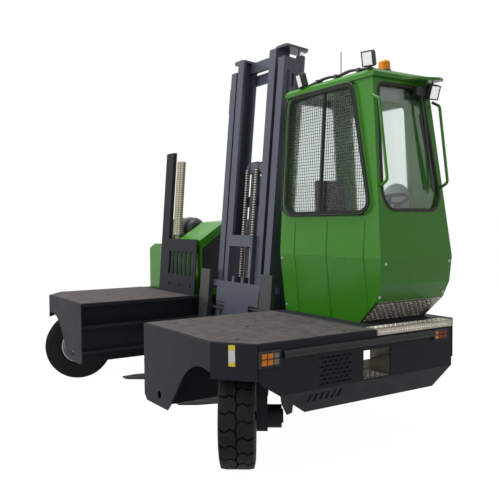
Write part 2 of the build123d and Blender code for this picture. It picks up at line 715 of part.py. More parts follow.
def outer_mast():
    """Outer uprights with cross members, tilt lugs and lifting eyes."""
    back = MAST_FRONT + MAST_DEPTH
    side = upright(MAST_HALF, OUTER_FLANGE, MAST_FRONT, OUTER_FOOT, OUTER_TOP)
    lug_outline = [
        (back - 1, -70), (back - 1, LIFT_BARREL_FOOT), (45, LIFT_BARREL_FOOT), (58, 20), (58, -30), (20, -60),
    ]
    lug = prism_x(lug_outline, MAST_HALF - 120, MAST_HALF - 30)
    tilt_lug = [(back - 1, TILT_LUG_Z - 75), (back - 1, TILT_LUG_Z + 75), (20, TILT_LUG_Z + 28), (20, TILT_LUG_Z - 28)]
    lug += prism_x(tilt_lug, MAST_HALF - 5, TILT_X - TILT_EYE_HALF - 1)
    lug += rod_x(MAST_HALF, TILT_X + TILT_EYE_HALF, TILT_LUG_Y, TILT_LUG_Z, TILT_PIN_RADIUS)
    side += lug + lifting_eye()
    mast = both_sides(side)
    for z, plate in ((OUTER_FOOT + 30, LOW_CROSS_MEMBER), (1250, CROSS_MEMBER), (OUTER_TOP - 140, CROSS_MEMBER)):
        mast += block(-MAST_HALF + 1, MAST_HALF - 1, back - 1, back + plate, z, z + 110)
    mast += block(-MAST_HALF + 1, MAST_HALF - 1, MAST_FRONT + 10, back, OUTER_FOOT - 24, OUTER_FOOT)
    mast -= rod_x(-MAST_HALF - 1, MAST_HALF + 1, 0, 0, PIVOT_RADIUS + BEARING)
    return mast


def inner_mast():
    """Inner uprights with cross members and the top plates over the lift cylinders."""
    front = MAST_FRONT - INNER_STEP
    back = front + MAST_DEPTH
    side = upright(INNER_OUT, INNER_FLANGE, front, INNER_FOOT, INNER_TOP)
    top_plate = block(
        INNER_OUT - 60, LIFT_CYLINDER_X + 60, front + 20, back + LIFT_CYLINDER_BACK + 70, INNER_TOP, INNER_TOP + 25
    )
    top_plate = fillet(top_plate.edges().filter_by(Axis.Z), 40)
    side += top_plate
    mast = both_sides(side)
    mast += block(-INNER_OUT + 1, INNER_OUT - 1, back - 40, back, INNER_TOP - 110, INNER_TOP)
    mast += block(-INNER_OUT + 1, INNER_OUT - 1, front + 60, back, INNER_FOOT - 2, INNER_FOOT + 50)
    return mast


def lift_barrels():
    """Barrels of the two main lift cylinders behind the outer uprights."""
    y = MAST_FRONT + MAST_DEPTH + LIFT_CYLINDER_BACK
    barrel = rod_z(LIFT_BARREL_FOOT, LIFT_BARREL_TOP, LIFT_CYLINDER_X, y, LIFT_BARREL_RADIUS)
    barrel -= rod_z(LIFT_BARREL_FOOT + 30, LIFT_BARREL_TOP + 1, LIFT_CYLINDER_X, y, LIFT_ROD_RADIUS + BEARING)
    return both_sides(barrel)


def lift_rods():
    """Rods of the main lift cylinders, under the inner mast's top plates."""
    y = MAST_FRONT + MAST_DEPTH + LIFT_CYLINDER_BACK
    rod = rod_z(LIFT_BARREL_FOOT + 60, INNER_TOP, LIFT_CYLINDER_X, y, LIFT_ROD_RADIUS)
    return both_sides(rod)


def free_lift_barrel():
    """Barrel of the central free-lift cylinder, on the inner mast's foot."""
    foot = INNER_FOOT + 50
    barrel = rod_z(foot, FREE_BARREL_TOP, 0, FREE_CYLINDER_Y, FREE_BARREL_RADIUS)
    barrel -= rod_z(foot + 30, FREE_BARREL_TOP + 1, 0, FREE_CYLINDER_Y, FREE_ROD_RADIUS + BEARING)
    return barrel


def free_lift_head():
    """Free-lift rod with its crosshead and the two chain sheaves."""
    rod = rod_z(INNER_FOOT + 120, FREE_HEAD_TOP, 0, FREE_CYLINDER_Y, FREE_ROD_RADIUS)
    head = block(-60, 60, FREE_CYLINDER_Y - 50, FREE_CYLINDER_Y + 50, FREE_BARREL_TOP + 20, FREE_HEAD_TOP)
    head += rod_x(-CHAIN_X - 30, CHAIN_X + 30, FREE_CYLINDER_Y, FREE_HEAD_TOP - 60, 18)
    for x in (-CHAIN_X, CHAIN_X):
        head += rod_x(x - SHEAVE_WIDTH / 2, x + SHEAVE_WIDTH / 2, FREE_CYLINDER_Y, FREE_HEAD_TOP - 60, SHEAVE_RADIUS)
    return rod + head


def leaf_chains():
    """Front runs of the two leaf chains, from the carriage up to the sheaves."""
    y = FREE_CYLINDER_Y - SHEAVE_RADIUS - FIT - CHAIN_THICK / 2
    run = block(
        CHAIN_X - CHAIN_WIDTH / 2, CHAIN_X + CHAIN_WIDTH / 2, y - CHAIN_THICK / 2, y + CHAIN_THICK / 2,
        FORK_PLATE_TOP + 60, FREE_HEAD_TOP - 60,
    )
    return both_sides(run)


# Fork carriage and forks

def fork_carriage():
    """Roller plates in the inner mast, cross bars, front plate and fork bars."""
    front = MAST_FRONT - INNER_STEP
    roller_x = INNER_OUT - INNER_FLANGE
    side = block(roller_x - 36, roller_x - 8, PLATE_FRONT, front + 120, FORK_PLATE_BOTTOM - 300, CROSS_BAR_TOP)
    for z in (FORK_PLATE_BOTTOM - 220, CROSS_BAR_TOP - 80):
        side += rod_x(roller_x - 10, INNER_OUT - WEB_PLATE - 3, front + MAST_DEPTH / 2, z, 52)
    side += block(roller_x - 36, roller_x - 8, front + 100, front + 130, FORK_PLATE_BOTTOM - 300, CROSS_BAR_TOP)
    carriage = both_sides(side)
    plate_back = PLATE_FRONT + FORK_PLATE_THICK
    carriage += block(-roller_x + 8, roller_x - 8, PLATE_FRONT, plate_back, CROSS_BAR_BOTTOM, CROSS_BAR_TOP)
    carriage += block(
        -CARRIAGE_HALF, CARRIAGE_HALF, PLATE_FRONT, plate_back, FORK_PLATE_BOTTOM, FORK_PLATE_TOP
    )
    for z in (FORK_PLATE_TOP - FORK_BAR, FORK_LOWER_BAR):
        carriage += block(-FORK_BAR_HALF, FORK_BAR_HALF, PLATE_FRONT, plate_back, z, z + FORK_BAR)
    carriage += block(-roller_x + 8, roller_x - 8, PLATE_FRONT, plate_back, FORK_LOWER_BAR, FORK_PLATE_BOTTOM)
    for row, (tube_x0, tube_x1) in enumerate(((-POSITIONER_END, POSITIONER_TUBE_END), (-POSITIONER_TUBE_END, POSITIONER_END))):
        z = POSITIONER_Z - row * POSITIONER_PITCH
        carriage += rod_x(tube_x0, tube_x1, POSITIONER_Y, z, POSITIONER_TUBE_RADIUS)
        side_sign = 1 - 2 * row
        bore_x = sorted((side_sign * (10 - POSITIONER_END), side_sign * (POSITIONER_END + 1)))
        carriage -= rod_x(bore_x[0], bore_x[1], POSITIONER_Y, z, POSITIONER_ROD_RADIUS + BEARING)
    for x in (-CHAIN_X, CHAIN_X):
        carriage += block(
            x - 22, x + 22, PLATE_FRONT, FREE_CYLINDER_Y - SHEAVE_RADIUS, FORK_PLATE_TOP - 10, FORK_PLATE_TOP + 60
        )
    return carriage


def fork(rod_row):
    """One fork with its positioner rod in the given row, on the cab side."""
    back = PLATE_FRONT - FIT
    front = back - FORK_THICK
    heel = FORK_HEEL
    tip = front - FORK_BLADE
    outline = [
        (back, FORK_TOP), (front, FORK_TOP), (front, heel + FORK_THICK + 25), (front - 25, heel + FORK_THICK),
        (tip, heel + FORK_TIP_THICK), (tip, heel), (back - 40, heel), (back, heel + 40),
    ]
    x0, x1 = FORK_X - FORK_WIDTH / 2, FORK_X + FORK_WIDTH / 2
    blade = prism_x(outline, x0, x1)
    bar_back = PLATE_FRONT + FORK_PLATE_THICK
    blade += block(x0, x1, back - 1, bar_back, FORK_PLATE_TOP + FIT, FORK_PLATE_TOP + 26)
    blade += block(x0, x1, back - 1, bar_back, FORK_LOWER_BAR - 26, FORK_LOWER_BAR - FIT)
    rod_z_mid = POSITIONER_Z - rod_row * POSITIONER_PITCH
    blade += block(x0, x0 + 35, back - 1, POSITIONER_Y + POSITIONER_TUBE_RADIUS, rod_z_mid - 22, rod_z_mid + 22)
    taper = 45.0
    for edge, inner in ((FORK_X + FORK_WIDTH / 2, FORK_X + FORK_WIDTH / 2 - taper),
                        (FORK_X - FORK_WIDTH / 2, FORK_X - FORK_WIDTH / 2 + taper)):
        blade -= prism_z([(edge, tip + 160), (edge, tip - 1), (inner, tip - 1)], heel - 1, heel + FORK_THICK)
    blade += rod_x(POSITIONER_ROD_END, x0 + 1, POSITIONER_Y, rod_z_mid, POSITIONER_ROD_RADIUS)
    return blade


# Tilt cylinders

def tilt_pins():
    """Both ends of the tilt cylinder in the whole machine's frame, as (y, z)."""
    angle = math.radians(LEAN)
    rod_y_end = PIVOT_Y + TILT_LUG_Y * math.cos(angle) + TILT_LUG_Z * math.sin(angle)
    rod_z_end = PIVOT_Z - TILT_LUG_Y * math.sin(angle) + TILT_LUG_Z * math.cos(angle)
    return (TILT_EYE_Y, TILT_EYE_Z), (rod_y_end, rod_z_end)


def tilt_barrels():
    """Barrels of the two tilt cylinders, pinned to the reach carriage."""
    (y0, z0), (y1, z1) = tilt_pins()
    length = math.hypot(y1 - y0, z1 - z0)
    dy, dz = (y1 - y0) / length, (z1 - z0) / length
    end = length - 90
    barrel = rod_between((TILT_X, y0 + dy * 20, z0 + dz * 20), (TILT_X, y0 + dy * end, z0 + dz * end), TILT_BARREL_RADIUS)
    barrel += rod_x(TILT_X - TILT_EYE_HALF, TILT_X + TILT_EYE_HALF, y0, z0, 28)
    barrel -= rod_x(TILT_X - 40, TILT_X + 40, y0, z0, TILT_PIN_RADIUS + BEARING)
    barrel -= rod_between(
        (TILT_X, y0 + dy * 50, z0 + dz * 50), (TILT_X, y0 + dy * (end + 1), z0 + dz * (end + 1)), TILT_ROD_RADIUS + BEARING
    )
    return both_sides(barrel)


def tilt_rods():
    """Rods of the tilt cylinders with their eyes at the mast's lugs."""
    (y0, z0), (y1, z1) = tilt_pins()
    length = math.hypot(y1 - y0, z1 - z0)
    dy, dz = (y1 - y0) / length, (z1 - z0) / length
    rod = rod_between((TILT_X, y0 + dy * 145, z0 + dz * 145), (TILT_X, y1 - dy * 10, z1 - dz * 10), TILT_ROD_RADIUS)
    rod += rod_x(TILT_X - TILT_EYE_HALF, TILT_X + TILT_EYE_HALF, y1, z1, 26)
    rod -= rod_x(TILT_X - 40, TILT_X + 40, y1, z1, TILT_PIN_RADIUS + TILT_DRIFT)
    return both_sides(rod)


# Cab

def cab_solid(inset, low, high):
    """The cab's volume between two heights, drawn in by inset on all four sides."""
    front = [(y + inset, z) for y, z in CAB_FRONT_YZ]
    rear = [(y - inset, z) for y, z in reversed(CAB_REAR_YZ)]
    outline_yz = front + rear
    outer = [(x - inset, z) for x, z in reversed(CAB_XZ)]
    outline_xz = [(CAB_INNER_X + inset, CAB_XZ[0][1]), (CAB_INNER_X + inset, CAB_TOP)] + outer
    volume = prism_x(outline_yz, 0, HALF_LENGTH) & prism_y(outline_xz, 0, REAR_Y)
    return volume & block(0, HALF_LENGTH, 0, REAR_Y, low, high)


def outer_x(z, inset=0.0):
    """X of the cab's outer face at a height above the belt."""
    (x1, z1), (x2, z2) = CAB_XZ[3], CAB_XZ[4]
    return x1 + (x2 - x1) * (z - z1) / (z2 - z1) - inset


def rear_y(z):
    """Y of the cab's rear face at a height."""
    (y0, z0), (y1, z1), (y2, z2) = CAB_REAR_YZ
    if z < z1:
        return y0 + (y1 - y0) * (z - z0) / (z1 - z0)
    return y1 + (y2 - y1) * (z - z1) / (z2 - z1)


def cab_walls():
    """The four walls, each as thick as the whole wall, keyed by node name."""
    shell = cab_solid(0, DECK_TOP, CAB_TOP)
    core = cab_solid(CAB_WALL, DECK_TOP, CAB_TOP)
    shell -= core
    far = 3000.0
    front_inner = [(y + CAB_WALL, z) for y, z in CAB_FRONT_YZ]
    behind_front = prism_x(front_inner + [(far, CAB_TOP), (far, DECK_TOP)], 0, far)
    rear_inner = [(y - CAB_WALL, z) for y, z in CAB_REAR_YZ]
    before_rear = prism_x(rear_inner + [(-far, CAB_TOP), (-far, DECK_TOP)], 0, far)
    middle = shell & behind_front & before_rear
    split_x = (CAB_INNER_X + CAB_XZ[0][0]) / 2
    fork_wall = shell - behind_front
    fork_wall -= window_y(FORK_WINDOW, 0, 600)
    rear_wall = shell - before_rear
    rear_wall -= block(DOOR_X0, DOOR_X1, 700, far, DOOR_Z0, DOOR_Z1)
    for z in DOOR_HINGE_ZS:
        rear_wall += door_hinge(z, True)
    outer_wall = middle & block(split_x, far, 0, far, 0, far)
    outer_wall -= window_x(OUTER_WINDOW, 1700, far)
    inner_wall = middle & block(0, split_x, 0, far, 0, far)
    inner_wall -= window_x(INNER_WINDOW, 0, split_x)
    return {
        "cab_fork_side_wall": fork_wall,
        "cab_rear_wall": rear_wall,
        "cab_outer_wall": outer_wall,
        "cab_inner_wall": inner_wall,
    }


def cab_glass():
    """Fixed panes, each in the middle of its wall."""
    far = 3000.0
    mid = CAB_WALL / 2
    front = [(y + mid, z) for y, z in CAB_FRONT_YZ[1:]]
    front_back = [(y + GLASS, z) for y, z in reversed(front)]
    pane_front = prism_x(front + front_back, 0, far) & window_y(FORK_WINDOW, 0, 600)
    outer = [(x - mid, z) for x, z in CAB_XZ[3:]]
    outer_back = [(x - GLASS, z) for x, z in reversed(outer)]
    pane_outer = prism_y(outer + outer_back, 0, far) & window_x(OUTER_WINDOW, 1700, far)
    pane_inner = window_x(INNER_WINDOW, CAB_INNER_X + mid, CAB_INNER_X + mid + GLASS)
    return pane_front + pane_outer + pane_inner


def door_hinge(z, on_wall):
    """One hinge of the rear door: the wall's bracket with its pin, or the door's knuckle."""
    x, y = DOOR_X1, DOOR_HINGE_Y
    face = rear_y(z) - 8
    if on_wall:
        bracket = block(x + 4, x + 46, face, y + HINGE_RADIUS, z - 40, z - 20)
        bracket += block(x, x + 5, y - HINGE_RADIUS, y + HINGE_RADIUS, z - 40, z - 20)
        return bracket + rod_z(z - 40, z - 20, x, y, HINGE_RADIUS) + rod_z(z - 21, z + 20, x, y, HINGE_PIN)
    knuckle = block(x - 50, x, y - HINGE_RADIUS, y + HINGE_RADIUS, z - 20 + FIT, z + 20)
    knuckle += block(x - 50, x - 2 * HINGE_RADIUS, face, y, z - 20 + FIT, z + 20)
    knuckle += rod_z(z - 20 + FIT, z + 20, x, y, HINGE_RADIUS)
    return knuckle - rod_z(z - 30, z + 30, x, y, HINGE_PIN + BEARING)


def cab_door():
    """Rear door leaf with its window cut."""
    far = 3000.0
    shell = cab_solid(0, DECK_TOP, CAB_TOP) - cab_solid(CAB_WALL, DECK_TOP, CAB_TOP)
    rear_inner = [(y - CAB_WALL, z) for y, z in CAB_REAR_YZ]
    before_rear = prism_x(rear_inner + [(-far, CAB_TOP), (-far, DECK_TOP)], 0, far)
    wall = shell - before_rear
    leaf = block(DOOR_X0 + DOOR_GAP, DOOR_X1 - DOOR_GAP, 700, far, DOOR_Z0 + DOOR_GAP, DOOR_Z1 - DOOR_GAP)
    door = wall & leaf
    door -= window_y(DOOR_WINDOW, 700, far)
    for z in DOOR_HINGE_ZS:
        door += door_hinge(z, False)
    return door


def cab_door_glass():
    """The door's pane."""
    mid = CAB_WALL / 2
    rear = [(y - mid, z) for y, z in CAB_REAR_YZ[1:]]
    rear_in = [(y - GLASS, z) for y, z in reversed(rear)]
    return prism_x(rear + rear_in, 0, 3000) & window_y(DOOR_WINDOW, 700, 3000)


def cab_roof():
    """Roof slab with its flared visor."""
    x_out = CAB_XZ[-1][0] + 25
    y0 = CAB_FRONT_YZ[-1][0] - 15
    y1 = CAB_REAR_YZ[-1][0] + 30
    slab = block(CAB_INNER_X, x_out, y0, y1, CAB_TOP, ROOF_TOP)
    slab = chamfer(slab.edges().group_by(Axis.Z)[-1], ROOF_CHAMFER)
    visor_outline = [
        (x_out - 60, y0 + 330), (x_out, y0 + 330), (x_out + 60, y0 + 430), (x_out + 130, y1 - 60),
        (x_out + 110, y1), (x_out - 60, y1),
    ]
    return slab + prism_z(visor_outline, VISOR_BOTTOM, VISOR_BOTTOM + VISOR_PLATE)


def cab_floor():
    """Floor plate with the seat's pedestal."""
    floor = cab_solid(CAB_WALL, DECK_TOP, DECK_TOP + CAB_FLOOR)
    pedestal = block(1010, 1420, 470, 890, DECK_TOP + CAB_FLOOR, 1360)
    return floor + pedestal


def seat():
    """Cushion and back, facing the outer windscreen."""
    cushion = fillet(block(990, 1470, 440, 920, 1360 + FIT, 1490).edges(), 30)
    back = fillet(block(940, 1060, 460, 900, 1500, 2180).edges(), 35)
    link = block(1000, 1050, 560, 800, 1470, 1520)
    return cushion + back + link


def steering_console():
    """Console, column and steering wheel under the outer windscreen."""
    x = HALF_LENGTH - 410
    console = prism_y(
        [(x, DECK_TOP + CAB_FLOOR), (x + 160, 1125), (x + 260, 1300), (x + 260, 1700), (x + 100, 1780), (x, 1500)],
        500, 850,
    )
    console &= cab_solid(CAB_WALL + 4, DECK_TOP + CAB_FLOOR, CAB_TOP)
    column = rod_between((x + 100, 675, 1700), (x + 20, 675, 1900), 22)
    plane = Plane(origin=(x + 16, 675, 1910), z_dir=(-80, 0, 200))
    wheel = plane * Torus(170, 14)
    hub = plane * Cylinder(40, 30)
    for turn in (90, 210, 330):
        wheel += plane * Rot(0, 0, turn) * Pos(85, 0, 0) * Box(170, 24, 10)
    return console + column + hub + wheel


def window_guard():
    """Guard frame with bars over the fork-side window."""
    y0 = -26.0
    outer = [
        (CAB_INNER_X + 41, 2885.0), (HALF_LENGTH - 420, 2885.0), (HALF_LENGTH - 165, 1880.0),
        (HALF_LENGTH - 245, 1808.0), (CAB_INNER_X + 111, 1808.0), (CAB_INNER_X + 31, 1880.0),
    ]
    band = [(y + y0, z) for y, z in CAB_FRONT_YZ[1:]]
    band_back = [(y - 1, z) for y, z in reversed(CAB_FRONT_YZ[1:])]
    skin = prism_x(band + band_back, 0, 3000)
    frame = skin & prism_y(outer, 0, 600)
    frame -= window_y(FORK_WINDOW, 0, 600)
    for x in range(880, 1880, 60):
        frame += (skin & block(x, x + 5, 0, 600, 1820, 2870)) & prism_y(outer, 0, 600)
    for z in range(1900, 2860, 80):
        frame += (skin & block(800, 2000, 0, 600, z, z + 5)) & prism_y(outer, 0, 600)
    return frame


def grab_rails():
    """Two bent tubes beside the outer windscreen."""
    rails = None
    for y, z0, z1 in ((330, 2030, 2740), (1010, 2030, 2740)):
        low = (outer_x(z0), y, z0)
        high = (outer_x(z1), y, z1)
        out = 75.0
        path = FilletPolyline(
            low, (low[0] + out, y, z0 + 40), (high[0] + out, y, z1 - 40), high, radius=35
        )
        start = Plane(origin=path @ 0, z_dir=path % 0)
        rail = sweep(start * Circle(RAIL_TUBE_RADIUS), path=path)
        rails = rail if rails is None else rails + rail
    return rails - cab_solid(0, DECK_TOP, CAB_TOP)


def cab_lamps():
    """Work lamps on their brackets and the amber beacon."""
    x0, x1 = CAB_INNER_X + 186, HALF_LENGTH - 310
    lamps = block(x1, x1 + 90, 330, 390, ROOF_TOP + 30, ROOF_TOP + 135)
    lamps += rod_z(ROOF_TOP, ROOF_TOP + 31, x1 + 45, 375, 12)
    lamps += block(x0, x0 + 90, 330, 390, ROOF_TOP + 20, ROOF_TOP + 110)
    lamps += rod_z(ROOF_TOP, ROOF_TOP + 21, x0 + 45, 375, 12)
    lamps += block(x1 + 135, x1 + 200, 900, 975, CAB_TOP - 130, CAB_TOP - 22)
    lamps += rod_z(CAB_TOP - 23, VISOR_BOTTOM, x1 + 165, 940, 12)
    return lamps


def beacon():
    """Amber beacon on the roof."""
    x = HALF_LENGTH - 370
    body = rod_z(ROOF_TOP, ROOF_TOP + BEACON_BASE, x, 620, 58)
    dome = rod_z(ROOF_TOP + BEACON_BASE, ROOF_TOP + BEACON_TOP, x, 620, 52)
    return body + fillet(dome.edges().group_by(Axis.Z)[-1], 14)


# Engine side

def hood_outline(drop=0.0):
    """The hood's top line as (y, z) points from front to rear, lowered by drop."""
    return [
        (BAY_FRONT_Y, HOOD_FRONT_Z - drop),
        (HOOD_CREST_Y, HOOD_CREST_Z - drop),
        (BAY_REAR_Y, HOOD_REAR_Z - drop),
    ]


def engine_enclosure():
    """Engine bay on the deck: closed outer box and the open part under the hood."""
    top = hood_outline(HOOD_LIP + 4)
    side_outline = top + [(BAY_REAR_Y, DECK_TOP), (BAY_FRONT_Y, DECK_TOP)]
    x0, x1 = -HALF_LENGTH, BAY_INNER_X
    split = HOOD_OUTER_X - 4
    open_part = prism_x(side_outline, split, x1)
    box_outline = [
        (x0, DECK_TOP), (split, DECK_TOP), (split, BAY_TOP), (x0 + BAY_EDGE_RUN, BAY_TOP), (x0, BAY_TOP - BAY_EDGE_DROP),
    ]
    box = prism_y(box_outline, BAY_FRONT_Y, BAY_REAR_Y)
    front, rear = BAY_FRONT_Y + BAY_WALL, BAY_REAR_Y - BAY_WALL
    box_inner = [
        (x0 + BAY_WALL, DECK_TOP - 1), (split + 1, DECK_TOP - 1), (split + 1, BAY_TOP - BAY_WALL),
        (x0 + BAY_EDGE_RUN, BAY_TOP - BAY_WALL), (x0 + BAY_WALL, BAY_TOP - BAY_EDGE_DROP - BAY_WALL),
    ]
    bay = open_part + box
    bay -= prism_y(box_inner, front, rear)
    bay -= block(split - 1, x1 - BAY_WALL, front, rear, DECK_TOP - 1, 3000)
    wall = prism_x(side_outline, split, split + BAY_WALL) & block(split, x1, 0, 2000, BAY_TOP - BAY_WALL, 3000)
    bay += wall
    y, z = HOOD_HINGE_Y, HOOD_HINGE_Z
    for x in HOOD_HINGE_XS:
        bay += block(x - 30, x - 10, BAY_REAR_Y - BAY_WALL, y + 9, z - 70, z)
        bay += rod_x(x - 30, x - 10, y, z, 9)
        bay += rod_x(x - 11, x + 12, y, z, HOOD_PIN_RADIUS)
    return bay


def engine_hood():
    """Sloping hood with turned-down sides, hinged at its rear edge."""
    top = hood_outline()
    low = [(y, z - HOOD_LIP) for y, z in reversed(top)]
    x0, x1 = HOOD_OUTER_X, BAY_INNER_X
    lid = prism_x(top + low, x0, x1)
    under = hood_outline(BAY_WALL)
    deep = [(y, z - HOOD_LIP - 10) for y, z in reversed(top)]
    pocket = prism_x(under + deep, x0 + BAY_WALL, x1 - BAY_WALL)
    pocket &= block(x0, x1, BAY_FRONT_Y + BAY_WALL, BAY_REAR_Y - BAY_WALL, 0, 3000)
    hood = lid - pocket
    y, z = HOOD_HINGE_Y, HOOD_HINGE_Z
    for x in HOOD_HINGE_XS:
        knuckle = rod_x(x - 9.7, x + 10, y, z, 9) + block(x - 9.7, x + 10, BAY_REAR_Y - BAY_WALL, y + 5, z + 4, z + 26)
        hood += knuckle - rod_x(x - 12, x + 13, y, z, HOOD_PIN_RADIUS + BEARING)
    return hood


def engine_block():
    """The engine and pumps, closed in by the bay."""
    return block(-1900, -1150, 380, 960, DECK_TOP, 1400)


def post_y(z):
    """Y of the leaning guard post's front at a height."""
    return POST_FOOT_Y + (z - DECK_TOP) * math.tan(math.radians(POST_LEAN))


def load_guard():
    """Leaning box post and the slotted guard plate beside it."""
    y0, y1 = post_y(DECK_TOP), post_y(POST_TOP)
    post = prism_x(
        [(y0, DECK_TOP), (y1, POST_TOP), (y1 + POST_DEPTH, POST_TOP), (y0 + POST_DEPTH, DECK_TOP)],
        POST_X0, POST_X1,
    )
    g0, g1 = post_y(DECK_TOP), post_y(GUARD_TOP)
    plate = prism_x(
        [(g0, DECK_TOP), (g1, GUARD_TOP), (g1 + GUARD_PLATE, GUARD_TOP), (g0 + GUARD_PLATE, DECK_TOP)],
        POST_X1 - 1, GUARD_X1,
    )
    pitch = (GUARD_X1 - POST_X1 - 60) / GUARD_SLOTS
    for index in range(GUARD_SLOTS):
        x = POST_X1 + 40 + index * pitch
        plate -= block(x, x + pitch * 0.45, 0, 400, 1160, 1430)
    return post + plate


def exhaust_stack():
    """Exhaust pipe leaning behind the post, with its perforated shield."""
    x = STACK_X
    y0 = post_y(STACK_FOOT) + POST_DEPTH + STACK_SHIELD_RADIUS + FIT
    y1 = post_y(STACK_TOP) + POST_DEPTH + STACK_SHIELD_RADIUS + FIT
    low, high = (x, y0, STACK_FOOT), (x, y1, STACK_TOP)
    line = Vector(*high) - Vector(*low)
    place = Plane(origin=low, x_dir=(1, 0, 0), z_dir=line)
    length = line.length
    stub = STACK_FOOT - BAY_TOP - STACK_STUB_RISE
    pipe = Pos(0, 0, (length - stub) / 2) * Cylinder(STACK_PIPE_RADIUS, length + stub)
    shield = Pos(0, 0, length / 2) * Cylinder(STACK_SHIELD_RADIUS, length)
    shield -= Pos(0, 0, length / 2) * Cylinder(STACK_SHIELD_RADIUS - 3, length + 2)
    shield -= Pos(0, STACK_SHIELD_RADIUS, length / 2) * Box(
        3 * STACK_SHIELD_RADIUS, 2 * STACK_SHIELD_RADIUS - 20, length + 2
    )
    arms = None
    for z in (40.0, length - 40.0):
        arm = Pos(0, 0, z) * Box(2 * STACK_SHIELD_RADIUS - 4, 10, 20)
        arms = arm if arms is None else arms + arm
    return place * (pipe + shield + arms)


def gas_bottle():
    """Gas bottle lying on two saddles on the engine bay's outer box."""
    x0 = -HALF_LENGTH + 110
    x1 = x0 + BOTTLE_LENGTH
    y, z = BOTTLE_Y, BAY_TOP + BOTTLE_RADIUS + 25
    body = rod_x(x0, x1, y, z, BOTTLE_RADIUS)
    ends = body.edges().filter_by(GeomType.CIRCLE)
    body = fillet(ends, BOTTLE_RADIUS * 0.6)
    collar = rod_x(x1 - 5, x1 + 50, y, z, 80)
    collar -= rod_x(x1 + 5, x1 + 51, y, z, 74)
    valve = rod_x(x1 - 5, x1 + 40, y, z, 16)
    saddles = None
    for x in (x0 + 130, x1 - 160):
        saddle = block(x, x + 40, y - 110, y + 110, BAY_TOP, z - 60)
        saddles = saddle if saddles is None else saddles + saddle
    return body + collar + valve + saddles


def nodes():
    """Every piece of the machine, keyed by its node name."""
    parts = {
        "chassis_frame": chassis_frame(),
        "platform_cab_side": platform(),
        "platform_engine_side": other_side(platform()),
        "end_plate_cab_side": end_plate(),
        "end_plate_engine_side": other_side(end_plate()),
        "side_panel_cab_side": side_panel(),
        "side_panel_engine_side": other_side(side_panel()),
        "side_rub_bars": both_sides(rub_bar()),
        "side_lamps": both_sides(side_lamp(FRONT_LAMP) + side_lamp(REAR_LAMP)),
        "side_steps": side_steps(),
        "rear_panel": rear_panel(),
        "cab_roof": cab_roof(),
        "cab_floor": cab_floor(),
        "cab_glass": cab_glass(),
        "cab_door": cab_door(),
        "cab_door_glass": cab_door_glass(),
        "window_guard": window_guard(),
        "grab_rails": grab_rails(),
        "seat": seat(),
        "steering_console": steering_console(),
        "cab_lamps": cab_lamps(),
        "beacon": beacon(),
        "engine_block": engine_block(),
        "engine_enclosure": engine_enclosure(),
        "engine_hood": engine_hood(),
        "load_guard": load_guard(),
        "exhaust_stack": exhaust_stack(),
        "gas_bottle": gas_bottle(),
        "reach_carriage": reach_carriage(),
        "reach_barrel": reach_barrel(),
        "reach_rod": reach_rod(),
        "outer_mast": leaning(outer_mast()),
        "lift_barrels": leaning(lift_barrels()),
        "inner_mast": leaning(inner_mast()),
        "lift_rods": leaning(lift_rods()),
        "free_lift_barrel": leaning(free_lift_barrel()),
        "free_lift_head": leaning(free_lift_head()),
        "leaf_chains": leaning(leaf_chains()),
        "fork_carriage": leaning(fork_carriage()),
        "fork_cab_side": leaning(fork(0)),
        "fork_engine_side": leaning(other_side(fork(1))),
        "tilt_barrels": tilt_barrels(),
        "tilt_rods": tilt_rods(),
    }
    parts.update(cab_walls())
    pin_top = DECK_BOTTOM - 4
    front = (
        ("cab_side", WHEEL_X, CAB_SIDE_STEER, 1),
        ("engine_side", -WHEEL_X, ENGINE_SIDE_STEER, -1),
    )
    for side, x, turn, leg_side in front:
        leg = steering_leg(
            leg_side, TYRE_RADIUS, TYRE_WIDTH, HEAD_BOTTOM - FIT - TYRE_RADIUS, pin_top - TYRE_RADIUS
        )
        parts["steering_leg_" + side] = placed_wheel(leg, x, WHEEL_Y, TYRE_RADIUS, turn)
        wheel = rim(RIM_RADIUS, TYRE_WIDTH, leg_side)
        parts["rim_" + side] = placed_wheel(wheel, x, WHEEL_Y, TYRE_RADIUS, turn)
        rubber = tyre(TYRE_RADIUS, TYRE_WIDTH, RIM_RADIUS)
        parts["tyre_" + side] = placed_wheel(rubber, x, WHEEL_Y, TYRE_RADIUS, turn)
    rear_leg = steering_leg(
        1, REAR_TYRE_RADIUS, REAR_TYRE_WIDTH, REAR_BOX_BOTTOM - FIT - REAR_TYRE_RADIUS,
        DECK_BOTTOM - 40 - REAR_TYRE_RADIUS,
    )
    parts["steering_leg_rear"] = placed_wheel(rear_leg, 0, REAR_WHEEL_Y, REAR_TYRE_RADIUS, 0)
    rear_rim = rim(REAR_RIM_RADIUS, REAR_TYRE_WIDTH, 1)
    parts["rim_rear"] = placed_wheel(rear_rim, 0, REAR_WHEEL_Y, REAR_TYRE_RADIUS, 0)
    rear_tyre = tyre(REAR_TYRE_RADIUS, REAR_TYRE_WIDTH, REAR_RIM_RADIUS)
    parts["tyre_rear"] = placed_wheel(rear_tyre, 0, REAR_WHEEL_Y, REAR_TYRE_RADIUS, 0)
    return parts


def main():
    """Writes one STEP file for each node."""
    os.makedirs("parts", exist_ok=True)
    for name, shape in nodes().items():
        export_step(shape, os.path.join("parts", name + ".step"))


main()
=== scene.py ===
"""Looks of a multidirectional forklift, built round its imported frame."""

from __future__ import annotations

import json
import logging
import math
from dataclasses import dataclass
from enum import Enum
from typing import Iterator, Sequence

import bmesh
import bpy
from mathutils import Matrix, Vector

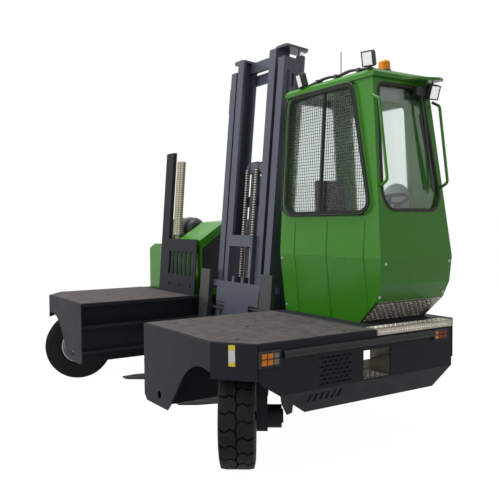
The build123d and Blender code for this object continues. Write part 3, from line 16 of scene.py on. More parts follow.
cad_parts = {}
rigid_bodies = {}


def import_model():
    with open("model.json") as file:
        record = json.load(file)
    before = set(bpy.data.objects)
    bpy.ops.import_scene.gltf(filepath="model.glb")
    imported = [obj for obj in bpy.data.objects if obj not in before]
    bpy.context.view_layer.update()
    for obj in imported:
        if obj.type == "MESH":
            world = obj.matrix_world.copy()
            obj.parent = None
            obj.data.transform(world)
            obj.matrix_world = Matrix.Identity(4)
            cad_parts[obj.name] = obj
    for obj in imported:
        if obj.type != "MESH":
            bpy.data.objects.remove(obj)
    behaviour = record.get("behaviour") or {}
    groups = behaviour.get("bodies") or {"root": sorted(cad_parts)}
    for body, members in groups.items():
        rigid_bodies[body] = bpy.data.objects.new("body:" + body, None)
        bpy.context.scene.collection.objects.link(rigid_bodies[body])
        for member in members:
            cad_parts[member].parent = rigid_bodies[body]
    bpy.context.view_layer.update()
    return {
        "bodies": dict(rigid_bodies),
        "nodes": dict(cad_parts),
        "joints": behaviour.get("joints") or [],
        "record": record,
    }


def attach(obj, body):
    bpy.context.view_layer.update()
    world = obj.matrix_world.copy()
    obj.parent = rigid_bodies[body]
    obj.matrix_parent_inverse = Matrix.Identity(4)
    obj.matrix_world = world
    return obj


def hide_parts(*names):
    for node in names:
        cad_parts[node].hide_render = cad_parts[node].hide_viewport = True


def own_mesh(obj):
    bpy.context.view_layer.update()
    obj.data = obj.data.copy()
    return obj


LOG = logging.getLogger("forklift")
MM = 0.001
CHASSIS = "chassis_body"
Point = tuple[float, float, float]
Flat = tuple[float, float]
Socket = bpy.types.NodeSocket
Tree = bpy.types.NodeTree
Thing = bpy.types.Object


def at(x: float, y: float, z: float) -> Matrix:
    """A shift from the origin."""
    return Matrix.Translation((x, y, z))


def turned(degrees: float, axis: str) -> Matrix:
    """A turn about an axis through the origin."""
    return Matrix.Rotation(math.radians(degrees), 4, axis)


# The mast's foot on the reach carriage, and its lean to the rear.
MAST_LEAN = at(0, 0.54, 0.67) @ turned(-5.2, "X")
# Stands a piece that was turned about X upright.
UPRIGHT = turned(-90, "Y")
# Edges of turned pieces sharper than this stay sharp.
SHARP_ANGLE = math.radians(38)
# Radius and colour of the punched holes, the radius as a share of their spacing.
HOLE_RADIUS = 0.30
HOLE_COLOUR = "#101010"
# What part of a cloud noise becomes mottle, and what part sways the roughness.
MOTTLE_BAND = (0.35, 0.72)
ROUGH_BAND = (0.3, 0.7)
# How far brushing draws the grain out along Z.
BRUSHED = (1.0, 1.0, 0.04)


class Pattern(Enum):
    """What a surface's small relief is made of."""

    PEEL = "orange peel of sprayed paint"
    GRIT = "sand strewn in paint"
    BRUSHED = "long fine scratches"
    MOULDED = "spark-eroded mould grain"
    WEAVE = "plain woven cloth"
    HOLES = "round punched holes in rows"
    SMOOTH = "no relief"


def linear(colour: str) -> tuple[float, float, float, float]:
    """Turns an sRGB hex colour to linear light.

    Args:
        colour: Six hex digits after a hash sign.

    Returns:
        Red, green, blue and an alpha of one.
    """
    parts = [int(colour[i:i + 2], 16) / 255 for i in (1, 3, 5)]
    low = [p / 12.92 if p <= 0.04045 else ((p + 0.055) / 1.055) ** 2.4 for p in parts]
    return (low[0], low[1], low[2], 1.0)


def add(tree: Tree, kind: str, inputs: dict | None = None, **settings) -> bpy.types.Node:
    """Adds a node to a tree.

    Args:
        tree: The tree it goes in.
        kind: The node's type.
        inputs: Values or sockets by input name or number; a socket is linked.
        **settings: The node's own properties.

    Returns:
        The new node.
    """
    item = tree.nodes.new(kind)
    for key, value in settings.items():
        setattr(item, key, value)
    for key, value in (inputs or {}).items():
        if isinstance(value, bpy.types.NodeSocket):
            tree.links.new(value, item.inputs[key])
        else:
            item.inputs[key].default_value = value
    return item


def cleared(owner: bpy.types.Material | bpy.types.World) -> Tree:
    """Gives a material or a world an empty node tree and returns the tree."""
    owner.use_nodes = True
    owner.node_tree.nodes.clear()
    return owner.node_tree


def maths(tree: Tree, operation: str, *values: Socket | float) -> Socket:
    """Works out numbers or sockets in a tree and returns the result's socket."""
    return add(tree, "ShaderNodeMath", dict(enumerate(values)), operation=operation).outputs[0]


def vectors(tree: Tree, operation: str, *values: Socket | Point) -> Socket:
    """Works out vectors in a tree, a scale's factor being the second value."""
    keys = (0, 3) if operation == "SCALE" else (0, 1)
    done = add(tree, "ShaderNodeVectorMath", dict(zip(keys, values)), operation=operation)
    return done.outputs["Value" if operation == "LENGTH" else "Vector"]


def blend(tree: Tree, share: Socket, one: Socket | tuple, two: Socket | tuple) -> Socket:
    """Mixes two colours and returns the result's socket."""
    return add(tree, "ShaderNodeMix", {0: share, 6: one, 7: two}, data_type="RGBA").outputs[2]


def remap(tree: Tree, value: Socket, given: Flat, wanted: Flat) -> Socket:
    """Maps a value from one range to another, clamped to it."""
    return add(tree, "ShaderNodeMapRange", {
        "Value": value, "From Min": given[0], "From Max": given[1],
        "To Min": wanted[0], "To Max": wanted[1],
    }).outputs["Result"]


def seen(tree: Tree) -> Socket:
    """One for rays of the camera, glass and gloss, nought for those that only carry light."""
    path = add(tree, "ShaderNodeLightPath").outputs
    through = maths(tree, "MAXIMUM", path["Is Camera Ray"], path["Is Transmission Ray"])
    return maths(tree, "MAXIMUM", through, path["Is Glossy Ray"])


@dataclass(frozen=True)
class Finish:
    """One finish: a real coating or material with its colours and relief.

    Colours are sRGB hex. The relief's grain and depth and the mottle's cloud are millimetres.
    """

    name: str
    colour: str
    second: str
    roughness: float
    metallic: float = 0.0
    pattern: Pattern = Pattern.PEEL
    grain: float = 6.0
    depth: float = 0.05
    mottle: float = 0.25
    cloud: float = 180.0
    coat: float = 0.0
    transmission: float = 0.0
    specular: float = 0.5

    def build(self) -> bpy.types.Material:
        """Makes the node material of this finish."""
        material = bpy.data.materials.new(self.name)
        tree = cleared(material)
        place = add(tree, "ShaderNodeTexCoord").outputs["Object"]
        cloud = add(tree, "ShaderNodeTexNoise", {
            "Vector": place, "Scale": 1000 / self.cloud, "Detail": 6.0, "Roughness": 0.62,
        }).outputs["Fac"]
        amount = remap(tree, cloud, MOTTLE_BAND, (0.0, self.mottle))
        colour = blend(tree, amount, linear(self.colour), linear(self.second))
        smoothest, roughest = max(self.roughness - 0.06, 0.02), min(self.roughness + 0.08, 1.0)
        rough = remap(tree, cloud, ROUGH_BAND, (smoothest, roughest))
        relief, shade = self.relief(tree, place)
        if shade is not None:
            colour = blend(tree, shade, colour, linear(HOLE_COLOUR))
        shader = add(tree, "ShaderNodeBsdfPrincipled", {
            "Base Color": colour, "Roughness": rough, "Metallic": self.metallic,
            "Coat Weight": self.coat, "Coat Roughness": 0.12,
            "Transmission Weight": self.transmission, "Specular IOR Level": self.specular,
        })
        if relief is not None:
            bump = add(tree, "ShaderNodeBump", {
                "Height": relief, "Strength": 0.6, "Distance": self.depth * MM,
            })
            tree.links.new(bump.outputs["Normal"], shader.inputs["Normal"])
        add(tree, "ShaderNodeOutputMaterial", {"Surface": shader.outputs["BSDF"]})
        return material

    def relief(self, tree: Tree, place: Socket) -> tuple[Socket | None, Socket | None]:
        """Makes the relief's height and, where holes show dark, their shade.

        Args:
            tree: The material's tree.
            place: The socket with the surface's place in metres.

        Returns:
            The height socket or None, and the shade socket or None.
        """
        scale = 1000 / self.grain
        if self.pattern is Pattern.SMOOTH:
            return None, None
        if self.pattern is Pattern.HOLES:
            cells = vectors(tree, "MULTIPLY", place, (scale, 0.0, scale))
            off = vectors(tree, "SUBTRACT", vectors(tree, "FRACTION", cells), (0.5, 0.0, 0.5))
            return None, maths(tree, "LESS_THAN", vectors(tree, "LENGTH", off), HOLE_RADIUS)
        given = {"Vector": place, "Scale": scale}
        if self.pattern is Pattern.WEAVE:
            x, y, z = (
                add(tree, "ShaderNodeTexWave", given, bands_direction=way).outputs["Fac"]
                for way in ("X", "Y", "Z")
            )
            return maths(tree, "ADD", maths(tree, "ADD", x, y), z), None
        if self.pattern is Pattern.GRIT:
            return add(tree, "ShaderNodeTexVoronoi", given).outputs["Distance"], None
        stretch = BRUSHED if self.pattern is Pattern.BRUSHED else (1.0, 1.0, 1.0)
        drawn = add(tree, "ShaderNodeMapping", {"Vector": place, "Scale": stretch}).outputs["Vector"]
        fine = add(tree, "ShaderNodeTexNoise", {"Vector": drawn, "Scale": scale, "Detail": 3.0})
        return fine.outputs["Fac"], None


# Sprayed two-pack enamel on sheet steel: a soft gloss with faint orange peel.
GREEN = Finish(
    "green_enamel_on_steel", "#347C10", "#2A680C", 0.30, coat=0.1, grain=5, depth=0.02, mottle=0.4,
    specular=0.25,
)
# Dark grey enamel on the platforms: satin, scuffed paler in clouds.
CHARCOAL = Finish(
    "charcoal_enamel_on_plate", "#222228", "#2A292F", 0.56, grain=7, depth=0.04, mottle=0.8,
    specular=0.12,
)
# Anti-slip coat: quartz sand in dark paint, drawn at 9 mm so that it shows.
DECK = Finish(
    "sanded_antislip_coat", "#332F2E", "#554F4E", 0.80, pattern=Pattern.GRIT, grain=9, depth=0.9,
    mottle=1.0, cloud=70, specular=0.3,
)
# Mast sections: hot-rolled steel under grey enamel, rougher than sheet.
MAST = Finish(
    "grey_enamel_on_rolled_steel", "#3B3F4D", "#464A57", 0.38, grain=10, depth=0.06, mottle=0.6,
    specular=0.45,
)
# Black powder coat: dull, pebbled.
BLACK = Finish(
    "black_powder_coat", "#151517", "#1E1E21", 0.5, grain=3, depth=0.05, mottle=0.4, specular=0.3,
)
# Worn forged fork steel under black paint.
FORGED = Finish(
    "painted_forged_steel", "#1E1E20", "#39383A", 0.45, grain=18, depth=0.25, mottle=0.8, cloud=90,
)
# Rolled aluminium chequer plate: bright, long rolling scratches.
ALUMINIUM = Finish(
    "rolled_aluminium_plate", "#ADA698", "#8F8779", 0.42, metallic=0.8, pattern=Pattern.BRUSHED,
    grain=1.2, depth=0.03, mottle=0.6,
)
# The raised bars of the same plate, rubbed bright by boots, and painted near white as painted highlight.
BAR_WEAR_AND_HIGHLIGHT = Finish(
    "rubbed_aluminium_bars", "#F4F2EC", "#E2DED4", 0.34, metallic=0.5, pattern=Pattern.SMOOTH,
    mottle=0.3,
)
# Hard-chromed piston rod: mirror bright.
CHROME = Finish(
    "hard_chrome_plating", "#D8DADB", "#C6C9CB", 0.08, metallic=1.0, pattern=Pattern.SMOOTH,
    mottle=0.2,
)
# Punched and galvanised heat shield: holes every 22 mm, drawn large so that they show.
SHIELD = Finish(
    "punched_galvanised_sheet", "#B5AF98", "#9C967F", 0.6, metallic=0.15, pattern=Pattern.HOLES,
    grain=22, mottle=0.6,
)
# Oiled leaf-chain steel: dark, greasy sheen.
CHAIN = Finish(
    "oiled_chain_steel", "#2A2621", "#3A332A", 0.36, metallic=0.5, grain=4, depth=0.1, mottle=0.8,
    cloud=20,
)
# Pale outer faces of the links: painted highlight, one glint a pitch where the plates catch the light.
LINK_HIGHLIGHT = Finish(
    "rubbed_chain_steel", "#CFC9B8", "#A9A08A", 0.34, metallic=0.4, grain=4, depth=0.05, mottle=0.7,
    cloud=20,
)
# Solid tyre rubber: matt black with grey scuff and dust.
RUBBER = Finish(
    "vulcanised_solid_rubber", "#111112", "#1D1C1C", 0.74, pattern=Pattern.MOULDED, grain=5,
    depth=0.15, mottle=0.7, cloud=60, specular=0.22,
)
# Silver enamel on pressed wheel discs.
RIM = Finish(
    "silver_enamel_on_wheel_disc", "#DADCDF", "#BFC2C6", 0.36, metallic=0.15, grain=6, depth=0.05,
)
# Woven polyester seat cloth, thread drawn at 4 mm.
CLOTH = Finish(
    "woven_polyester_cloth", "#26272A", "#34353A", 0.9, pattern=Pattern.WEAVE, grain=4, depth=0.4,
)
# Injection-moulded ABS with mould grain.
PLASTIC = Finish(
    "moulded_black_abs", "#1B1B1D", "#222225", 0.55, pattern=Pattern.MOULDED, grain=1.5, depth=0.04,
)
# Amber acrylic of the lenses and the beacon's dome.
AMBER = Finish("amber_acrylic", "#F08A04", "#D86F04", 0.22, pattern=Pattern.SMOOTH, specular=0.25)
# Orange acrylic behind a smoked skin, for the rear cells.
RED = Finish("smoked_orange_acrylic", "#8E3407", "#742905", 0.22, pattern=Pattern.SMOOTH, specular=0.25)
# Clear ribbed lens over its dull reflector.
CLEAR = Finish("clear_ribbed_lens", "#6E6B66", "#88857F", 0.2, pattern=Pattern.SMOOTH)
# Smoke-tinted sun blind.
TINTED = Finish(
    "smoke_tinted_acrylic", "#A9B4B8", "#9AA6AA", 0.05, pattern=Pattern.SMOOTH, transmission=0.9,
    mottle=0.1,
)
# Pale grey moulded ABS of the instrument pod.
POD = Finish(
    "moulded_grey_abs", "#B4BEC2", "#A8B2B6", 0.5, pattern=Pattern.MOULDED, grain=2, depth=0.04,
)
# Vacuum-metallised reflectors behind clear lenses.
REFLECTOR = Finish(
    "metallised_reflector", "#E9EAEA", "#D5D7D8", 0.16, metallic=0.9, pattern=Pattern.SMOOTH,
)
# Toughened cab glass: thin, faintly green.
GLASS = Finish(
    "toughened_cab_glass", "#ECF2EF", "#E6EDEA", 0.02, pattern=Pattern.SMOOTH, transmission=1.0,
    mottle=0.1,
)
# Extruded rubber window seal.
SEAL = Finish("extruded_rubber_seal", "#252321", "#2F2C2A", 0.6, pattern=Pattern.SMOOTH, specular=0.3)
# Grey enamel on the gas bottle, worn at its shoulders.
BOTTLE = Finish("grey_bottle_enamel", "#1D1E20", "#2A2B2D", 0.42, grain=6, depth=0.06, mottle=0.7)
# Zinc-plated bolt heads.
ZINC = Finish("zinc_plated_steel", "#A7A9AA", "#8D8F91", 0.34, metallic=0.9, grain=3, depth=0.03)
# Plain yellow vinyl film.
FILM = Finish("yellow_vinyl_film", "#E0CF1E", "#D6C41A", 0.4, pattern=Pattern.SMOOTH, coat=0.3)
# Plain red vinyl film.
RED_FILM = Finish("red_vinyl_film", "#B5202A", "#A51B25", 0.4, pattern=Pattern.SMOOTH, coat=0.3)
# Plain white vinyl film.
PALE_FILM = Finish("white_vinyl_film", "#D8D8D2", "#CBCBC5", 0.4, pattern=Pattern.SMOOTH, coat=0.3)


class Palette:
    """Materials that are built once and shared."""

    made: dict[str, bpy.types.Material] = {}

    @classmethod
    def get(cls, finish: Finish) -> bpy.types.Material:
        """Returns the material of a finish, building it the first time."""
        if finish.name not in cls.made:
            cls.made[finish.name] = finish.build()
        return cls.made[finish.name]


def new_object(name: str, data: bpy.types.ID) -> Thing:
    """Links a mesh, curve, camera or lamp to the scene as an object at the origin."""
    thing = bpy.data.objects.new(name, data)
    bpy.context.scene.collection.objects.link(thing)
    return thing


def flattened(thing: Thing) -> Thing:
    """Applies an object's modifiers and place, and returns it as a plain mesh at the origin."""
    graph = bpy.context.evaluated_depsgraph_get()
    mesh = bpy.data.meshes.new_from_object(thing.evaluated_get(graph))
    mesh.transform(thing.matrix_world)
    name = thing.name
    bpy.data.objects.remove(thing)
    return new_object(name, mesh)


def from_bmesh(name: str, shape: bmesh.types.BMesh, bevel: float = 0.0, smooth: bool = False) -> Thing:
    """Turns a bmesh into an object.

    Args:
        name: The object's name.
        shape: The bmesh, freed here.
        bevel: Width of the rounded edges in metres.
        smooth: Whether faces are shaded smooth.

    Returns:
        The finished object.
    """
    bmesh.ops.remove_doubles(shape, verts=shape.verts, dist=1e-6)
    bmesh.ops.recalc_face_normals(shape, faces=shape.faces)
    mesh = bpy.data.meshes.new(name)
    shape.to_mesh(mesh)
    shape.free()
    thing = new_object(name, mesh)
    if bevel:
        cut = thing.modifiers.new("edge", "BEVEL")
        cut.width, cut.segments, cut.limit_method = bevel, 2, "ANGLE"
        thing = flattened(thing)
    if smooth:
        thing.data.shade_smooth()
    return thing


def slab(name: str, outline: Sequence[Flat], axis: str, low: float, high: float,
         bevel: float = 0.002) -> Thing:
    """A plate with rounded edges, drawn as an outline across an axis.

    Args:
        name: The object's name.
        outline: Corners as (y, z), (x, z) or (x, y) for axis X, Y or Z.
        axis: The axis that its thickness runs along.
        low: Where it starts.
        high: Where it ends.
        bevel: Width of the rounded edges.

    Returns:
        The plate.
    """
    shape = bmesh.new()
    place = {
        "X": lambda a, b, t: (t, a, b), "Y": lambda a, b, t: (a, t, b), "Z": lambda a, b, t: (a, b, t),
    }[axis]
    lower, upper = ([shape.verts.new(place(a, b, t)) for a, b in outline] for t in (low, high))
    shape.faces.new(lower)
    shape.faces.new(list(reversed(upper)))
    for i in range(len(outline)):
        j = (i + 1) % len(outline)
        shape.faces.new((lower[j], lower[i], upper[i], upper[j]))
    return from_bmesh(name, shape, bevel)


def brick(name: str, low: Point, high: Point, bevel: float = 0.003) -> Thing:
    """A block with rounded edges between two corners."""
    outline = [(low[0], low[1]), (high[0], low[1]), (high[0], high[1]), (low[0], high[1])]
    return slab(name, outline, "Z", low[2], high[2], bevel)


def lathe(name: str, profile: Sequence[Flat], steps: int = 48) -> Thing:
    """A closed ring turned about X from (x, radius) points."""
    shape = bmesh.new()
    rings = []
    for i in range(steps):
        angle = 2 * math.pi * i / steps
        c, s = math.cos(angle), math.sin(angle)
        rings.append([shape.verts.new((x, r * c, r * s)) for x, r in profile])
    for i in range(steps):
        one, two = rings[i], rings[(i + 1) % steps]
        for k in range(len(profile)):
            n = (k + 1) % len(profile)
            shape.faces.new((one[k], one[n], two[n], two[k]))
    bmesh.ops.remove_doubles(shape, verts=shape.verts, dist=1e-5)
    bmesh.ops.dissolve_degenerate(shape, dist=1e-6, edges=shape.edges)
    thing = from_bmesh(name, shape, smooth=True)
    thing.data.set_sharp_from_angle(angle=SHARP_ANGLE)
    return thing


def tube(name: str, points: Sequence[Point], radius: float, bend: bool = False,
         closed: bool = False, sides: int = 3) -> Thing:
    """A round bar or hose along points.

    Args:
        name: The object's name.
        points: The points of its middle line.
        radius: Half its thickness.
        bend: Whether the line is a smooth curve.
        closed: Whether it comes back to its start.
        sides: How finely the round is cut.

    Returns:
        The bar as a plain mesh.
    """
    curve = bpy.data.curves.new(name, "CURVE")
    curve.dimensions = "3D"
    line = curve.splines.new("NURBS" if bend else "POLY")
    line.points.add(len(points) - 1)
    for spot, point in zip(line.points, points):
        spot.co = (*point, 1.0)
    line.use_cyclic_u = closed
    if bend:
        line.use_endpoint_u = not closed
        line.order_u = 3
        line.resolution_u = 6
    curve.bevel_depth, curve.bevel_resolution, curve.use_fill_caps = radius, sides, not closed
    thing = flattened(new_object(name, curve))
    thing.data.shade_smooth()
    return thing


def rounded(points: Sequence[Flat], radius: float, steps: int = 5) -> list[Flat]:
    """Rounds the corners of a closed outline.

    Args:
        points: Its corners.
        radius: How far each arc starts before its corner.
        steps: Points in each arc.

    Returns:
        The outline with arcs in place of corners.
    """
    longest = 0.45
    line = []
    for i, corner in enumerate(points):
        here = Vector(corner)
        back = Vector(points[i - 1]) - here
        ahead = Vector(points[(i + 1) % len(points)]) - here
        reach = min(radius, back.length * longest, ahead.length * longest)
        start, end = here + back.normalized() * reach, here + ahead.normalized() * reach
        for k in range(steps):
            t = k / (steps - 1)
            spot = start * (1 - t) ** 2 + here * 2 * t * (1 - t) + end * t ** 2
            line.append((spot.x, spot.y))
    return line


def join(name: str, things: Sequence[Thing]) -> Thing:
    """Joins plain meshes to one object, each face keeping its material."""
    shape = bmesh.new()
    mesh = bpy.data.meshes.new(name)
    for thing in things:
        start = len(shape.faces)
        base = len(mesh.materials)
        for material in thing.data.materials:
            mesh.materials.append(material)
        shape.from_mesh(thing.data)
        shape.faces.ensure_lookup_table()
        for face in shape.faces[start:]:
            face.material_index += base
    shape.to_mesh(mesh)
    shape.free()
    for thing in things:
        bpy.data.objects.remove(thing)
    return new_object(name, mesh)


def paint(thing: Thing, finish: Finish) -> Thing:
    """Gives a piece one finish and returns it."""
    thing.data.materials.clear()
    thing.data.materials.append(Palette.get(finish))
    return thing


def moved(thing: Thing, place: Matrix) -> Thing:
    """Moves a piece's mesh and returns the piece."""
    thing.data.transform(place)
    return thing


def fit(thing: Thing, body: str, slot: str, *nodes: str) -> None:
    """Puts a finished piece on its body.

    Args:
        thing: The piece.
        body: The body it rides on.
        slot: The record's material slot; not used.
        *nodes: Nodes of the frame that it replaces.
    """
    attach(thing, body)
    if nodes:
        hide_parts(*nodes)
    LOG.info("%s on %s, %d faces", thing.name, body, len(thing.data.polygons))


def trim(name: str, slot: str, parts: Sequence[Thing], finish: Finish | None = None,
         nodes: Sequence[str] = ()) -> None:
    """Joins parts to one piece of the chassis.

    Args:
        name: The piece's name.
        slot: The record's material slot.
        parts: What is joined.
        finish: One finish for them all, or None where each keeps its own.
        nodes: Nodes of the frame that the piece replaces.
    """
    piece = join(name, parts)
    if finish is not None:
        paint(piece, finish)
    fit(piece, CHASSIS, slot, *nodes)


class Repeater:
    """Geometry Nodes that set out one piece in rows or round a ring."""

    inputs = (
        ("Piece", "NodeSocketObject"), ("Material", "NodeSocketMaterial"), ("Count", "NodeSocketInt"),
        ("Columns", "NodeSocketInt"), ("Pitch", "NodeSocketVector"), ("Row Pitch", "NodeSocketVector"),
        ("Turn", "NodeSocketVector"), ("Start", "NodeSocketVector"),
    )
    tree: Tree | None = None
    sockets: dict[str, str] = {}

    @classmethod
    def make_tree(cls) -> None:
        """Builds the node tree once."""
        tree = bpy.data.node_groups.new("repeat_piece", "GeometryNodeTree")
        for name, kind in cls.inputs:
            socket = tree.interface.new_socket(name=name, in_out="INPUT", socket_type=kind)
            cls.sockets[name] = socket.identifier
        tree.interface.new_socket(name="Geometry", in_out="OUTPUT", socket_type="NodeSocketGeometry")
        given = add(tree, "NodeGroupInput").outputs
        index = add(tree, "GeometryNodeInputIndex").outputs[0]
        column = maths(tree, "FLOORED_MODULO", index, given["Columns"])
        row = maths(tree, "FLOOR", maths(tree, "DIVIDE", index, given["Columns"]))
        along = vectors(tree, "SCALE", given["Pitch"], column)
        across = vectors(tree, "SCALE", given["Row Pitch"], row)
        place = vectors(tree, "ADD", vectors(tree, "ADD", along, across), given["Start"])
        turn = vectors(tree, "SCALE", given["Turn"], index)
        points = add(tree, "GeometryNodePoints", {"Count": given["Count"], "Position": place}).outputs[0]
        piece = add(tree, "GeometryNodeObjectInfo", {"Object": given["Piece"]}).outputs["Geometry"]
        copies = add(tree, "GeometryNodeInstanceOnPoints", {
            "Points": points, "Instance": piece, "Rotation": turn,
        }).outputs[0]
        real = add(tree, "GeometryNodeRealizeInstances", {"Geometry": copies}).outputs[0]
        done = add(tree, "GeometryNodeSetMaterial", {"Geometry": real, "Material": given["Material"]})
        add(tree, "NodeGroupOutput", {"Geometry": done.outputs[0]})
        cls.tree = tree

    @classmethod
    def lay(cls, name: str, piece: Thing, finish: Finish, count: int, columns: int = 0,
            pitch: Point = (0, 0, 0), row_pitch: Point = (0, 0, 0), turn: Point = (0, 0, 0),
            start: Point = (0, 0, 0)) -> Thing:
        """Sets out copies of a piece, which is used up.

        Args:
            name: The result's name.
            piece: What is repeated, drawn at the origin.
            finish: Its finish.
            count: How many there are in all.
            columns: How many lie in a row; 0 puts all in one.
            pitch: Step from one to the next in a row.
            row_pitch: Step from row to row.
            turn: Turn in radians that each adds to the one before.
            start: Place of the first.

        Returns:
            All the copies as one plain mesh.
        """
        if cls.tree is None:
            cls.make_tree()
        holder = new_object(name, bpy.data.meshes.new(name))
        modifier = holder.modifiers.new("repeat", "NODES")
        modifier.node_group = cls.tree
        values = (piece, Palette.get(finish), count, columns or count, pitch, row_pitch, turn, start)
        for (label, _), value in zip(cls.inputs, values):
            modifier[cls.sockets[label]] = value
        done = flattened(holder)
        bpy.data.objects.remove(piece)
        return done


def hex_head(across: float, height: float) -> Thing:
    """A chamfered bolt head on its washer, pointing up +Z from the origin.

    Args:
        across: Its width over the flats.
        height: How high it stands.

    Returns:
        The head, without a finish.
    """
    corner, chamfered = across / 1.732, across / 1.9
    washer, thick = across * 0.8, 0.003
    shape = bmesh.new()
    for segments, foot, head, high in ((6, corner, chamfered, height), (16, washer, washer, thick)):
        bmesh.ops.create_cone(shape, cap_ends=True, segments=segments, radius1=foot, radius2=head,
                              depth=high, matrix=at(0, 0, high / 2))
    return from_bmesh("bolt_head", shape)


def bolts(head: Thing, spots: Sequence[Point], finish: Finish) -> list[Thing]:
    """Sets copies of a bolt head at several spots; the head itself is used up."""
    done = [paint(moved(new_object("bolt", head.data.copy()), at(*spot)), finish) for spot in spots]
    bpy.data.objects.remove(head)
    return done


@dataclass
class Studio:
    """Camera, lamps and the white floor; angles in degrees, lens and sensor in millimetres."""

    eye: Point = (5.6863, -3.2973, 1.7477)
    heading: float = 56.7074
    pitch: float = -2.308
    roll: float = -0.374
    lens: float = 47.4955
    sensor: float = 36.0
    far_clip: float = 200.0
    floor_size: float = 60.0
    paper_grey: float = 0.38
    paper_glow: float = 1.22
    glow_share: float = 0.8
    sky_light: float = 0.32
    boxes: tuple[tuple[str, Point, Point, float, float], ...] = (
        ("top", (0.0, -1.0, 8.5), (0.2, 0.0, 1.0), 6.0, 640),
        ("key", (-2.5, -9.0, 4.5), (0.3, 0.0, 1.3), 4.0, 420),
        ("fill", (9.0, -1.0, 3.2), (1.5, 0.3, 1.5), 3.0, 50),
    )

    def camera(self) -> None:
        """Places the camera as solved from the photograph's perspective."""
        a, e, r = (math.radians(v) for v in (self.heading, self.pitch, self.roll))
        ahead = Vector((-math.sin(a) * math.cos(e), math.cos(a) * math.cos(e), math.sin(e)))
        right = Vector((math.cos(a), math.sin(a), 0.0))
        over = right.cross(ahead)
        side = right * math.cos(r) + over * math.sin(r)
        top = over * math.cos(r) - right * math.sin(r)
        data = bpy.data.cameras.new("camera")
        data.lens, data.sensor_width, data.clip_end = self.lens, self.sensor, self.far_clip
        thing = new_object("camera", data)
        thing.matrix_world = at(*self.eye) @ Matrix((side, top, -ahead)).transposed().to_4x4()
        bpy.context.scene.camera = thing

    def lamps(self) -> None:
        """Hangs three soft boxes: top, key and fill."""
        for name, place, aim, size, power in self.boxes:
            data = bpy.data.lights.new(name, "AREA")
            data.energy, data.size = power, size
            thing = new_object(name, data)
            thing.location = place
            thing.rotation_euler = (Vector(aim) - Vector(place)).to_track_quat("-Z", "Y").to_euler()

    def world(self) -> None:
        """A white surround for the eye and for gloss, and a plain level for light."""
        world = bpy.data.worlds.new("studio")
        tree = cleared(world)
        level = remap(tree, seen(tree), (0.0, 1.0), (self.sky_light, 1.0))
        back = add(tree, "ShaderNodeBackground", {"Color": (1, 1, 1, 1), "Strength": level})
        add(tree, "ShaderNodeOutputWorld", {"Surface": back.outputs[0]})
        bpy.context.scene.world = world

    def floor(self) -> None:
        """A white floor that keeps a faint shadow."""
        shape = bmesh.new()
        bmesh.ops.create_grid(shape, x_segments=1, y_segments=1, size=self.floor_size / 2)
        thing = from_bmesh("floor", shape)
        material = bpy.data.materials.new("white_paper_sweep")
        tree = cleared(material)
        grey = (self.paper_grey, self.paper_grey, self.paper_grey, 1)
        diffuse = add(tree, "ShaderNodeBsdfDiffuse", {"Color": grey}).outputs[0]
        white = {"Color": (1, 1, 1, 1), "Strength": self.paper_glow}
        white = add(tree, "ShaderNodeEmission", white).outputs[0]
        share = maths(tree, "MULTIPLY", seen(tree), self.glow_share)
        mix = add(tree, "ShaderNodeMixShader", {0: share, 1: diffuse, 2: white})
        add(tree, "ShaderNodeOutputMaterial", {"Surface": mix.outputs[0]})
        thing.data.materials.append(material)

    def build(self) -> None:
        """Sets up the whole studio."""
        self.camera()
        self.lamps()
        self.world()
        self.floor()
        bpy.context.scene.view_settings.view_transform = "Standard"


NODE_FINISH: dict[Finish, tuple[str, ...]] = {
    GREEN: ("cab_fork_side_wall", "cab_rear_wall", "cab_outer_wall", "cab_inner_wall", "cab_roof",
            "cab_door", "engine_enclosure", "engine_hood", "grab_rails"),
    CHARCOAL: ("chassis_frame", "platform_cab_side", "platform_engine_side", "end_plate_cab_side",
               "end_plate_engine_side", "side_panel_cab_side", "side_panel_engine_side",
               "rear_panel", "load_guard", "steering_leg_cab_side", "steering_leg_engine_side",
               "steering_leg_rear", "cab_floor"),
    BLACK: ("side_rub_bars", "engine_block", "reach_barrel"),
    MAST: ("reach_carriage", "outer_mast", "inner_mast", "lift_barrels", "free_lift_barrel",
           "free_lift_head", "fork_carriage", "tilt_barrels"),
    FORGED: ("fork_cab_side", "fork_engine_side"),
    ALUMINIUM: ("side_steps",),
    CHROME: ("reach_rod", "lift_rods", "tilt_rods"),
    SHIELD: ("exhaust_stack",),
    RIM: ("rim_cab_side", "rim_engine_side", "rim_rear"),
    GLASS: ("cab_glass", "cab_door_glass"),
    PLASTIC: ("steering_console", "cab_lamps"),
    AMBER: ("beacon", "side_lamps"),
    BOTTLE: ("gas_bottle",),
    CLOTH: ("seat",),
    CHAIN: ("leaf_chains",),
    RUBBER: ("tyre_cab_side", "tyre_engine_side", "tyre_rear"),
}


def dress_frame(nodes: dict[str, bpy.types.Object]) -> None:
    """Gives every node of the frame its finish.

    Args:
        nodes: The frame's objects by name.
    """
    for finish, names in NODE_FINISH.items():
        for name in names:
            thing = nodes[name]
            for slot in thing.material_slots:
                slot.material = Palette.get(finish)
            if not thing.material_slots:
                thing.data.materials.append(Palette.get(finish))


